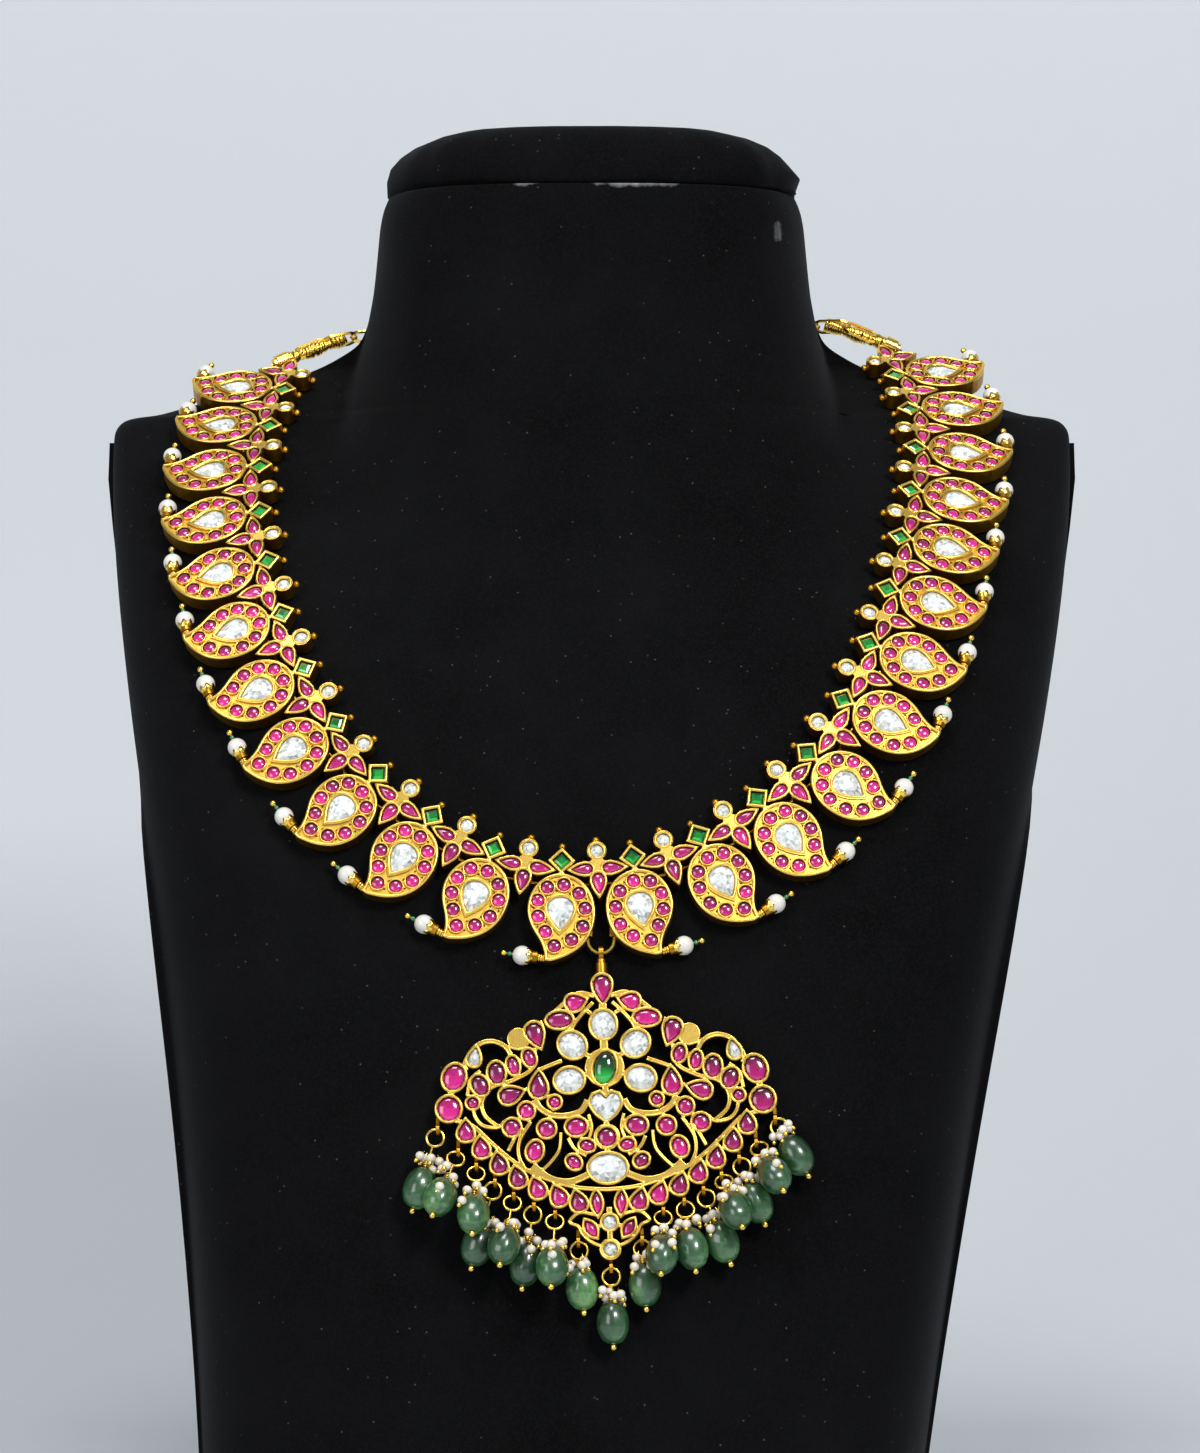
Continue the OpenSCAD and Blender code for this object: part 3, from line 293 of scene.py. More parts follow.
def grained(tree, values):
    """The fine grain group placed in a material: its mask and its normal."""
    group = add(tree, "ShaderNodeGroup", values, node_tree=grain_group)
    return group.outputs["Mask"], group.outputs["Normal"]


print("velvet, gold and pearls share", age_group.name, "and", grain_group.name)

# %% [markdown]
# Gold is one metal with several skins. The rims are burnished and bright, the sunk face is frosted,
# the side walls are darker where no cloth reaches, and the pockets keep an olive tone.
# The wire work is drawn and polished; the pierced pits between the stones are flat triangles of nearly
# black painted shade.
# All six use the same two groups with their own values.

# %% Gold
GOLD_PATCH, SMOOTHER, ROUGHER = 420, 0.07, 0.12


def gold(name, clean, worn, roughness, grain, patches=0.6):
    """Metal with grain = (scale, strength) and soft patches of wear."""
    material, tree, shader = surface(name)
    mask, normal = grained(tree, {"Scale": grain[0], "Strength": grain[1]})
    connect(tree, shader, {
        "Metallic": 1, "Base Color": aged(tree, clean, worn, GOLD_PATCH, patches), "Normal": normal,
        "Roughness": stretch(tree, mask, 0, 1, roughness - SMOOTHER, roughness + ROUGHER)})
    return material


rim_gold = gold("burnished rim gold", (1.0, 0.68, 0.15), (0.80, 0.47, 0.07), 0.27, (5200, 0.12), 0.45)
face_gold = gold("frosted face gold", (0.92, 0.58, 0.10), (0.60, 0.33, 0.035), 0.36, (5200, 0.4), 0.55)
side_gold = gold("aged side gold", (0.56, 0.29, 0.025), (0.24, 0.10, 0.006), 0.33, (2400, 0.3), 0.7)
pocket_gold = gold("olive pocket gold", (0.50, 0.36, 0.05), (0.24, 0.16, 0.015), 0.38, (1800, 0.3))
wire_gold = gold("drawn wire gold", (1.0, 0.69, 0.14), (0.84, 0.48, 0.06), 0.2, (3000, 0.12), 0.5)
# Nearly black paint for the pits: painted shade of the pierced holes.
pit_shade_paint = gold("painted pit shade", (0.10, 0.045, 0.01), (0.04, 0.015, 0.004), 0.6, (1200, 0.3))
print("golds", [m.name for m in (rim_gold, face_gold, side_gold, pocket_gold, wire_gold, pit_shade_paint)])

# %% [markdown]
# A foil-backed stone looks lit from inside, because light goes through it, meets the foil and comes out
# at the far side. Tracing that in glass is slow and noisy, so that light is painted instead: its level is
# worked out for each stone in the mesh, and the shader turns the level into colour and a faint emitted
# glow. A hard clear coat gives the polished surface its sharp highlight.

# %% Stones
def stone(name, dark, body, glow, roughness, crackle, scale, painted_glow=0.1, coat=1.0):
    """Foil-backed stone with painted light: its level comes from the mesh attribute foil, and its colour
    also glows as emission.
    """
    material, tree, shader = surface(name)
    level = add(tree, "ShaderNodeAttribute", attribute_name="foil").outputs["Fac"]
    colour = add(tree, "ShaderNodeGroup", {
        "Dark": (*dark, 1), "Body": (*body, 1), "Glow": (*glow, 1), "Level": level,
        "Crackle": crackle, "Scale": scale}, node_tree=foil_group).outputs["Color"]
    # The painted light also goes out as emission, so the stone glows faintly.
    connect(tree, shader, {
        "Roughness": roughness, "IOR": 1.6, "Coat Weight": coat, "Coat Roughness": 0.04,
        "Base Color": colour, "Emission Color": colour, "Emission Strength": painted_glow})
    return material


ruby = stone("foiled ruby", (0.05, 0.0, 0.020), (0.40, 0.003, 0.135), (0.90, 0.022, 0.36),
             0.16, 0.5, 1300, 0.17)
kundan = stone("foiled white stone", (0.15, 0.16, 0.16), (0.47, 0.50, 0.49), (0.86, 0.90, 0.90),
               0.16, 0.8, 700, 0.05, 0.7)
leaf_green = stone("foiled square emerald", (0.001, 0.022, 0.006), (0.002, 0.13, 0.020),
                   (0.018, 0.52, 0.05), 0.12, 0.5, 900, 0.08)
deep_green = stone("cabochon emerald", (0.001, 0.012, 0.003), (0.002, 0.07, 0.012),
                   (0.01, 0.50, 0.06), 0.1, 0.2, 700, 0.12)
jade = stone("translucent jade", (0.007, 0.028, 0.011), (0.030, 0.105, 0.036), (0.17, 0.37, 0.11),
             0.3, 0.8, 420, 0.05, 0.7)
tiny_green = stone("green glass bead", (0.0, 0.06, 0.02), (0.0, 0.16, 0.05), (0.02, 0.4, 0.12),
                   0.15, 0.1, 900)
print("stones", [m.name for m in (ruby, kundan, leaf_green, deep_green, jade, tiny_green)])

# %% [markdown]
# A pearl is layer on layer of clear skin over white. A pale base with a soft coat is enough at this size,
# with a slow shift between cream and rose.

# %% Pearl
def nacre(name, warm, cool):
    """Pearl skin that drifts between two near whites."""
    material, tree, shader = surface(name)
    connect(tree, shader, {
        "Roughness": 0.28, "Coat Weight": 0.6, "Coat Roughness": 0.12,
        "Base Color": aged(tree, warm, cool, 240, 0.9),
        "Normal": grained(tree, {"Scale": 700, "Strength": 0.12})[1]})
    return material


pearl = nacre("cream pearl", (0.80, 0.77, 0.70), (0.66, 0.61, 0.56))
seed_pearl = nacre("seed pearl", (0.82, 0.78, 0.67), (0.64, 0.57, 0.45))
print("pearls", pearl.name, "and", seed_pearl.name)

# %% [markdown]
# Velvet is a short dense pile. It swallows light seen face on and shines faintly at a glancing angle,
# which is what the sheen of the shader does. The pile leans this way and that in broad soft patches,
# lint sticks to it as fine pale specks, and the tips of small tufts get painted highlights.
# Where the mesh attribute foil says so, the pile is rubbed off and the grey ground shows through,
# with a ragged edge.

# %% Velvet
LINT, TUFT_TIP_HIGHLIGHT, BARE_CLOTH = (0.13, 0.125, 0.12), (0.0065, 0.0065, 0.0072), (0.24, 0.24, 0.25)


def velvet(name, pile, brushed, lint_amount):
    """Black pile with brushed patches, lint, painted highlights on tuft tips, and rubbed places."""
    material, tree, shader = surface(name)
    place = add(tree, "ShaderNodeTexCoord").outputs["Object"]
    specks = add(tree, "ShaderNodeTexVoronoi", {"Vector": place, "Scale": 260}).outputs["Distance"]
    lint = stretch(tree, specks, 0.085, 0.0, 0, lint_amount)
    # Painted highlights where the tips of tufts catch light.
    tips = stretch(tree, noise(tree, 1500, {"Detail": 2}), 0.42, 0.72, 0, 0.5)
    worn = add(tree, "ShaderNodeAttribute", attribute_name="foil").outputs["Fac"]
    rubbed = stretch(tree, sums(tree, "MULTIPLY", worn, noise(tree, 260, {"Detail": 4})), 0.22, 0.5)
    colour = aged(tree, pile, brushed, 18, 1)
    for share, over in ((lint, LINT), (tips, TUFT_TIP_HIGHLIGHT), (rubbed, BARE_CLOTH)):
        colour = blend(tree, share, colour, (*over, 1))
    connect(tree, shader, {
        "Roughness": 0.95, "Specular IOR Level": 0.06, "Sheen Weight": 0.045, "Sheen Roughness": 0.45,
        "Sheen Tint": (0.55, 0.57, 0.62, 1), "Base Color": colour,
        "Normal": grained(tree, {"Scale": 1400, "Strength": 0.6, "Depth": 0.0002})[1]})
    return material


black_velvet = velvet("black velvet", (0.0012, 0.0012, 0.0014), (0.0042, 0.0042, 0.0046), 0.6)
print("materials", len(bpy.data.materials))

# %% [markdown]
# Where does each stone sit? The frame knows: every pocket in the gold has a flat floor.
# This step finds the flat faces of a gold piece, tells rims, sunk faces, pockets and sides apart,
# and keeps the outline of each pocket. The stones are later cut to those outlines,
# so they fit wherever the links lie on the bust.

# %% Reading flat faces from the gold
FLAT, LEVEL = math.cos(math.radians(0.6)), 0.9995
SMALLEST_POCKET, SLIVER, NOTHING = 2.6 * MM * MM, 0.0005 * MM * MM, 1e-12
SINK_MIN, POCKET_MIN = 0.1 * MM, 0.9 * MM


def spread(seed, left, joins):
    """The seed and each face reached from it across edges where joins allows; all leave the set."""
    left.remove(seed)
    group, stack = [], [seed]
    while stack:
        face = stack.pop()
        group.append(face)
        for other in [f for edge in face.edges for f in edge.link_faces]:
            if other in left and joins(other):
                left.remove(other)
                stack.append(other)
    return group


def face_groups(bm):
    """Groups of neighbouring faces that lie in one plane, largest seed first."""
    left, groups = set(bm.faces), []
    for seed in sorted(bm.faces, key=lambda f: -f.calc_area()):
        if seed in left and seed.calc_area() >= NOTHING:
            normal = seed.normal.copy()
            groups.append((normal, spread(
                seed, left, lambda f: f.normal.dot(normal) > FLAT or f.calc_area() < SLIVER)))
    return groups


def outlines(group):
    """Closed outlines round a group of faces, each a list of points, counter-clockwise outside."""
    inside = set(group)
    after = {}
    for face in group:
        for loop in face.loops:
            if any(f in inside and f is not face for f in loop.edge.link_faces):
                continue
            after.setdefault(loop.vert, []).append(loop.link_loop_next.vert)
    found = []
    while after:
        vert, ring = next(iter(after)), []
        while vert in after:
            ring.append(vert.co.copy())
            ends = after[vert]
            following = ends.pop()
            if not ends:
                del after[vert]
            vert = following
        found.append(ring)
    return found


def area_vector(ring):
    """Arrow square to an outline, as long as the area inside it."""
    total = Vector((0, 0, 0))
    for a, b in zip(ring, ring[1:] + ring[:1]):
        total += (a - ring[0]).cross(b - ring[0])
    return total / 2


print("a pocket is at least", round(SMALLEST_POCKET / MM / MM, 1), "square mm")

# %% Loose solids
WELD = 0.002 * MM


def parts_of(bm):
    """The loose solids of a mesh as lists of faces, in the order of the mesh, so that runs agree."""
    left = set(bm.faces)
    return [spread(seed, left, lambda face: True) for seed in bm.faces if seed in left]


def points_of(part):
    """The corners of a loose solid, each once."""
    return [v.co for v in dict.fromkeys(v for face in part for v in face.verts)]


def welded(name):
    """Scratch copy of a node's mesh with its split corners joined, and its face numbers kept."""
    bm = bmesh.new()
    bm.from_mesh(nodes[name].data)
    number = bm.faces.layers.int.new("number")
    for face in bm.faces:
        face[number] = face.index
    bmesh.ops.remove_doubles(bm, verts=bm.verts, dist=WELD)
    bm.normal_update()
    return bm, number


print("corners closer than", round(WELD / MM, 3), "mm are joined")

# %% Rims, sunk faces and pockets
RIM, FACE, POCKET, SIDE = range(4)


def read_gold(name):
    """Skins of a gold node's faces, and each loose solid's upward direction, rims and pockets."""
    bm, number = welded(name)
    groups = face_groups(bm)
    skins = [SIDE] * len(nodes[name].data.polygons)
    links = []
    for part in parts_of(bm):
        own = set(part)
        sized = [(sum(f.calc_area() for f in g), n, g) for n, g in groups if g[0] in own]
        up = -max(sized, key=lambda s: s[0])[1]
        flats = [(a, g[0].verts[0].co.dot(up), g) for a, n, g in sized if n.dot(up) > LEVEL]
        top = max(level for a, level, g in flats if a > SMALLEST_POCKET)
        pockets, rims, floor_verts = [], [], set()
        for a, level, g in flats:
            sink = top - level
            kind = RIM if sink < SINK_MIN else FACE if sink < POCKET_MIN else POCKET
            if kind == POCKET and a < SMALLEST_POCKET:
                kind = SIDE
            for face in g:
                skins[face[number]] = kind
            rings = sorted(outlines(g), key=lambda r: -area_vector(r).length)
            if kind == POCKET:
                pockets.append({"ring": rings[0], "area": a, "sink": sink})
                floor_verts.update(v for face in g for v in face.verts)
            if kind == RIM and a > SMALLEST_POCKET:
                rims.append(rings)
        for face in part:
            if skins[face[number]] == SIDE and any(v in floor_verts for v in face.verts):
                skins[face[number]] = POCKET
        weights = [f.calc_area() for f in part]
        middle = sum((f.calc_center_median() * w for f, w in zip(part, weights)), Vector()) / sum(weights)
        links.append({"up": up, "pockets": pockets, "rims": rims, "middle": middle})
    bm.free()
    return skins, links


MANGOES = [f"mango_{side}{i:02d}" for side in "lr" for i in range(1, 13)]
gold_read = {name: read_gold(name) for name in [*MANGOES, "flower_links", "pendant_frame"]}
for name in ("mango_l02", "mango_r01", "flower_links", "pendant_frame"):
    print(name, "solids", len(gold_read[name][1]), "pockets",
          sorted({len(link["pockets"]) for link in gold_read[name][1]}))

# %% [markdown]
# Small parts are modelled together in one piece: a hundred rubies are one mesh, not a hundred objects.
# A heap collects corners and faces, with a skin number for each face and a foil level for each corner:
# on a stone it is painted light, on the velvet it is rubbed wear.

# %% Heaps of small parts
dice = random.Random(11)
POINT = 0.001 * MM


class Heap:
    """Corners and faces of one joined piece."""

    def __init__(self):
        self.verts, self.faces, self.skins, self.flat, self.foil = [], [], [], [], []

    def add(self, verts, faces, skin=0, foil=0.5, flat=False):
        """More corners, and faces that number them from 0."""
        base = len(self.verts)
        self.verts += verts
        self.faces += [[i + base for i in face] for face in faces]
        self.skins += [skin] * len(faces)
        self.flat += [flat] * len(faces)
        self.foil += foil if isinstance(foil, list) else [foil] * len(verts)

    def rows(self, rows, skin=0, foil=0.5, ends=True, flat=False):
        """Skin over rows of equal length, each a closed ring, with both ends filled if asked."""
        n = len(rows[0])
        faces = []
        for i in range(len(rows) - 1):
            for j in range(n):
                k = (j + 1) % n
                faces.append((i * n + j, i * n + k, (i + 1) * n + k, (i + 1) * n + j))
        if ends:
            faces.append(tuple(reversed(range(n))))
            faces.append(tuple((len(rows) - 1) * n + j for j in range(n)))
        self.add([v for row in rows for v in row], faces, skin, foil, flat)

    def build(self, name, materials, body, replaces=()):
        """One object on one body, in place of the plain nodes that it replaces."""
        mesh = bpy.data.meshes.new(name)
        mesh.from_pydata(self.verts, [], self.faces)
        for material in materials:
            mesh.materials.append(material)
        mesh.polygons.foreach_set("material_index", self.skins)
        mesh.polygons.foreach_set("use_smooth", [not f for f in self.flat])
        # The foil attribute holds painted light on the stones and rubbed wear on the velvet.
        layer = mesh.attributes.new("foil", "FLOAT", "POINT")
        layer.data.foreach_set("value", self.foil)
        thing = placed(name, mesh)
        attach(thing, body)
        if replaces:
            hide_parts(*replaces)
        print(name, len(self.faces), "faces")


print("dice seeded, so that each run draws the same numbers")


# %% Round parts
def across(axis):
    """Two directions square to an axis and to each other; the first looks down where it can."""
    low = Vector((0, 0, -1)) if abs(axis.z) < 0.95 else Vector((0, -1, 0))
    low = (low - axis * low.dot(axis)).normalized()
    return low, axis.cross(low)


def spokes(axis, n):
    """n directions all round an axis."""
    u, v = across(axis)
    return [u * math.cos(a) + v * math.sin(a) for a in [2 * math.pi * j / n for j in range(n)]]


def turned(heap, at, axis, profile, n=16, skin=0, foil=0.5):
    """Body of revolution: profile is a list of (distance along the axis, radius)."""
    rows = [[at + axis * z + out * max(r, POINT) for out in spokes(axis, n)] for z, r in profile]
    heap.rows(rows, skin, foil)


def ball_profile(r, steps=8, stretch=1.0):
    """Profile of a ball, or of an egg when stretched."""
    return [(-r * stretch * math.cos(math.pi * i / steps), r * math.sin(math.pi * i / steps))
            for i in range(steps + 1)]


def ring_of_wire(heap, at, axis, r, wire, n=16, m=6):
    """Closed round ring of round wire, its plane square to the axis."""
    rows = [[at + out * (r + wire * math.cos(b)) + axis * wire * math.sin(b)
             for b in [2 * math.pi * j / m for j in range(m)]] for out in spokes(axis, n)]
    heap.rows([*rows, rows[0]], ends=False)


print("a ball is turned in", len(ball_profile(MM)), "rows")

# %% [markdown]
# The outline of a pocket comes from the frame as a chain of short straight cuts.
# A craftsman's collar is bent round the stone, so the outline is drawn smooth between its corners,
# and only real corners, such as a petal's tip, stay sharp.

# %% Outlines
STEP, SHORTEST = 0.36 * MM, 0.04 * MM
CORNER, MITRE = math.cos(math.radians(48)), 0.6


def facing(ring, up):
    """The outline in counter-clockwise order seen from above."""
    return ring if area_vector(ring).dot(up) > 0 else ring[::-1]


def smooth_ring(ring, up, step=STEP, turn=True):
    """Closed outline redrawn as a curve through its points; sharp corners are kept."""
    ring = facing(ring, up) if turn else ring
    points = [p for i, p in enumerate(ring) if (p - ring[i - 1]).length > SHORTEST]
    n = len(points)
    sharp = []
    for i, p in enumerate(points):
        a, b = (p - points[i - 1]).normalized(), (points[(i + 1) % n] - p).normalized()
        sharp.append(a.dot(b) < CORNER)
    out = []
    for i in range(n):
        p0, p1, p2, p3 = (points[(i + k) % n] for k in (-1, 0, 1, 2))
        long = (p2 - p1).length
        m1 = p2 - p1 if sharp[i] else (p2 - p0) * (long / (long + (p1 - p0).length))
        m2 = p2 - p1 if sharp[(i + 1) % n] else (p3 - p1) * (long / (long + (p3 - p2).length))
        parts = max(1, round(long / step))
        for k in range(parts):
            t = k / parts
            out.append(p1 * (2 * t ** 3 - 3 * t ** 2 + 1) + m1 * (t ** 3 - 2 * t ** 2 + t)
                       + p2 * (3 * t ** 2 - 2 * t ** 3) + m2 * (t ** 3 - t ** 2))
    return out


def offset(ring, up, distance):
    """Outline moved outward in its own plane, or inward when the distance is negative."""
    out, n = [], len(ring)
    for i, p in enumerate(ring):
        n1 = (p - ring[i - 1]).normalized().cross(up)
        n2 = (ring[(i + 1) % n] - p).normalized().cross(up)
        middle = (n1 + n2).normalized()
        out.append(p + middle * (distance / max(MITRE, middle.dot(n1))))
    return out


def corners_of(ring, up):
    """Points of an outline where it turns sharply."""
    ring = facing(ring, up)
    n = len(ring)
    return [p for i, p in enumerate(ring)
            if (p - ring[i - 1]).normalized().dot((ring[(i + 1) % n] - p).normalized()) < CORNER]


def centre_of(ring):
    """Middle of a ring of points."""
    return sum(ring, Vector()) / len(ring)


print("outlines redrawn every", round(STEP / MM, 2), "mm")

# %% [markdown]
# Three cuts of stone. The rubies are cabochons: a low wall and a smooth dome.
# The white stones are cut by eye in kundan work, so their facets are uneven, and each facet gets
# its own random level of painted foil light. The square emeralds are step cut, with a table and four
# slopes, and painted light makes them dark above and vivid below.

# %% Cuts of stone
PLAY, ROOT, RIDGE_STEPS, CROWN = 0.1 * MM, 0.5 * MM, 6, 0.85
DOME_RISE = [math.pi / 2 * i / 6 for i in (1.2, 2.4, 3.6, 4.7, 5.5)]


def cabochon(heap, ring, up, wall, dome, glow=0.5, depth_of_glow=1.0):
    """Domed stone in an outline, with painted light brighter toward its lower side and painted shade round
    its edge.
    """
    edge = offset(ring, up, -PLAY)
    centre = centre_of(edge)
    low, _ = across(up)
    reach = max((p - centre).length for p in edge)
    level = glow + dice.uniform(-0.2, 0.13)
    lean = dice.uniform(0.2, 0.34) * depth_of_glow
    shape = [(1, 0), (1, wall)] + [(math.cos(a) ** 0.8, wall + dome * math.sin(a)) for a in DOME_RISE]
    rows, foil = [], []
    for scale, height in shape:
        row = [centre + (p - centre) * scale + up * height for p in edge]
        rows.append(row)
        # Painted light: the lower side is brighter, and the edge gets painted shade from the collar.
        foil += [level + lean * (p - centre).dot(low) / reach - 0.25 * scale ** 6 for p in row]
    heap.rows(rows, 0, foil)


def facet(heap, points, level):
    """One flat face of a stone, with its own level of foil light."""
    heap.add(points, [tuple(range(len(points)))], 0, level, True)


def rose_cut(heap, ring, up, wall, crown, count):
    """Hand-cut white stone: two rows of uneven facets round a small table, each facet with a random level
    of painted foil light.
    """
    edge = offset(ring, up, -PLAY)
    centre = centre_of(edge)
    n = len(edge)
    heap.rows([edge, [p + up * wall for p in edge]], 0, 0.35)
    starts = [round(i * n / count) for i in range(count)]
    outer = [edge[i % n] + up * wall for i in starts]
    middle = []
    for i in range(count):
        p = edge[round((i + 0.5) * n / count) % n]
        middle.append(centre + (p - centre) * dice.uniform(0.6, 0.72)
                      + up * (wall + crown * dice.uniform(0.6, 0.75)))
    table = [centre + (p - centre) * dice.uniform(0.28, 0.4) + up * (wall + crown) for p in outer[::2]]
    # Each facet gets a random level of painted foil light, standing in for what it reflects.
    for i in range(count):
        k = (i + 1) % count
        arc = [edge[j % n] + up * wall for j in range(starts[i], starts[k] + (n if k == 0 else 0) + 1)]
        facet(heap, [*arc, middle[i]], dice.uniform(0.45, 0.95))
        facet(heap, [outer[k], middle[k], middle[i]], dice.uniform(0.25, 0.85))
    m = len(table)
    for i in range(count):
        this, following = table[(i // 2) % m], table[((i + 1) // 2) % m]
        facet(heap, [middle[i], middle[(i + 1) % count], following], dice.uniform(0.55, 1.0))
        if this is not following:
            facet(heap, [middle[i], following, this], dice.uniform(0.35, 0.9))
    facet(heap, table, dice.uniform(0.7, 0.95))


def step_cut(heap, ring, up, wall, crown):
    """Square stone with a table and four slopes, with painted light: dark above and vivid below."""
    edge = offset(corners_of(ring, up), up, -PLAY)
    centre = centre_of(edge)
    low, _ = across(up)
    girdle = [p + up * wall for p in edge]
    heap.rows([edge, girdle], 0, 0.2, flat=True)
    mid = [centre + (p - centre) * 0.74 + up * (wall + crown * 0.6) for p in edge]
    table = [centre + (p - centre) * 0.46 + up * (wall + crown) for p in edge]
    n = len(edge)
    for i in range(n):
        k = (i + 1) % n
        # Painted light: a slope that faces down is brighter, one that faces up is darker.
        toward = ((edge[i] + edge[k]) / 2 - centre).normalized().dot(low)
        facet(heap, [girdle[i], girdle[k], mid[k], mid[i]], 0.3 + 0.4 * toward)
        facet(heap, [mid[i], mid[k], table[k], table[i]],
              0.55 + 0.4 * toward + dice.uniform(-0.1, 0.1))
    facet(heap, table, dice.uniform(0.42, 0.72))


def ridge(heap, ring, up, start, width, height):
    """Rounded band of gold that follows an outline: the collar that holds a stone."""
    shape = [(width * q, height * math.sin(math.pi * q) ** CROWN)
             for q in [i / RIDGE_STEPS for i in range(RIDGE_STEPS + 1)]]
    shape = [(0, -ROOT), *shape, (width, -ROOT)]
    lines = [[p + up * h for p in offset(ring, up, start + o)] for o, h in shape]
    rows = [[line[i] for line in lines] for i in range(len(ring))]
    heap.rows([*rows, rows[0]], ends=False)


print("stones keep", round(PLAY / MM, 2), "mm of play in their pockets")

# %% [markdown]
# Now every pocket of a link gets its stone and its collar. On each mango the large pear is white,
# the square is an emerald and the ten rounds are rubies. Each flower has three ruby petals
# and a white heart. Between neighbouring rubies the goldsmith pierces small holes, one toward the rim
# and one toward the pear; here they are flat dark triangles of painted shade. A rounded band runs along the
# outer rim.

# %% Stones and collars of the links
WALL, DOME = 0.55 * MM, 0.75 * MM
PEAR_AREA, ROUND_AREA, NEIGHBOURS = 25 * MM * MM, 11 * MM * MM, 4.9 * MM
PIT, PIT_OUT, PIT_IN, FACE_DOWN = 0.42 * MM, 1.25 * MM, 1.2 * MM, 0.48 * MM
# Skin of the flat triangles that paint the shade in the pits.
PIT_SHADE = 1
whites, greens, reds, collars, small_collars, flower_collars = (Heap() for _ in range(6))
counts = {"pear": 0, "square": 0, "round": 0, "petal": 0, "heart": 0, "pit": 0}


def pit(heap, at, up, toward):
    """Flat dark triangle of painted shade for a pierced pit, pointing one way."""
    side = up.cross(toward)
    foot = toward * PIT * 0.6
    heap.add([at + toward * PIT, at + side * PIT - foot, at - side * PIT - foot],
             [(0, 1, 2)], PIT_SHADE, 0.5, True)
    counts["pit"] += 1


def painted_pits_between(heap, link):
    """Two painted-shade pits in each gap between neighbouring round stones of a mango."""
    up = link["up"]
    pear = next(centre_of(p["ring"]) for p in link["pockets"] if p["area"] > PEAR_AREA)
    rounds = [centre_of(p["ring"]) + up * (p["sink"] - FACE_DOWN) for p in link["pockets"]
              if p["area"] < ROUND_AREA]
    for i, a in enumerate(rounds):
        for b in rounds[i + 1:]:
            if (a - b).length < NEIGHBOURS:
                middle = (a + b) / 2
                toward = middle - pear
                toward = (toward - up * toward.dot(up)).normalized()
                pit(heap, middle + toward * PIT_OUT, up, toward)
                pit(heap, middle - toward * PIT_IN, up, -toward)


for link in [link for name in MANGOES for link in gold_read[name][1]]:
    up = link["up"]
    outer = max((ring for rings in link["rims"] for ring in rings), key=lambda r: area_vector(r).length)
    ridge(collars, smooth_ring(outer, up, 0.6 * MM), up, -0.78 * MM, 0.8 * MM, 0.24 * MM)
    painted_pits_between(collars, link)
    for pocket in link["pockets"]:
        ring = smooth_ring(pocket["ring"], up)
        top = [p + up * pocket["sink"] for p in ring]
        if pocket["area"] > PEAR_AREA:
            rose_cut(whites, ring, up, 0.7 * MM, 0.8 * MM, 12)
            ridge(collars, top, up, -0.03 * MM, 0.8 * MM, 0.28 * MM)
            counts["pear"] += 1
        elif len(corners_of(pocket["ring"], up)) == 4:
            step_cut(greens, pocket["ring"], up, 0.6 * MM, 0.5 * MM)
            ridge(collars, top, up, -0.02 * MM, 0.7 * MM, 0.2 * MM)
            counts["square"] += 1
        else:
            cabochon(reds, ring, up, WALL, DOME)
            ridge(small_collars, top, up, -0.04 * MM, 0.42 * MM, 0.16 * MM)
            counts["round"] += 1
for link in gold_read["flower_links"][1]:
    up = link["up"]
    for pocket in link["pockets"]:
        ring = smooth_ring(pocket["ring"], up)
        spans = [(p - centre_of(ring)).length for p in ring]
        if max(spans) / min(spans) < 1.15:
            rose_cut(whites, ring, up, 0.6 * MM, 0.6 * MM, 8)
            counts["heart"] += 1
        else:
            cabochon(reds, ring, up, WALL, DOME * 1.15)
            counts["petal"] += 1
        ridge(flower_collars, [p + up * pocket["sink"] for p in ring], up,
              -0.03 * MM, 0.65 * MM, 0.25 * MM)
whites.build("link_whites_cut", [kundan], NECKLACE, ["mango_kundans"])
greens.build("link_greens_cut", [leaf_green], NECKLACE, ["square_emeralds"])
reds.build("link_rubies_cut", [ruby], NECKLACE)
collars.build("mango_rims", [rim_gold, pit_shade_paint], NECKLACE)
small_collars.build("ruby_collars", [rim_gold], NECKLACE)
flower_collars.build("flower_collars", [rim_gold], NECKLACE)
print(counts)

# %% [markdown]
# The pendant mixes three kinds of stone in one pierced plate. The frame's own plain stones tell
# which kind belongs in a pocket: one green cabochon in the middle, white stones, and rubies elsewhere.
# The cut-outs of the plate get a thin rounded lip, as pierced metal has after it is filed.

# %% Stones and collars of the pendant
SMALL_WHITE = 14 * MM * MM


def part_centres(name):
    """Middle of each loose solid of a node."""
    bm, _ = welded(name)
    centres = [centre_of(points_of(part)) for part in parts_of(bm)]
    bm.free()
    return centres


def nearest(point, centres):
    """Distance from a point to the nearest of the centres."""
    return min((point - c).length for c in centres)


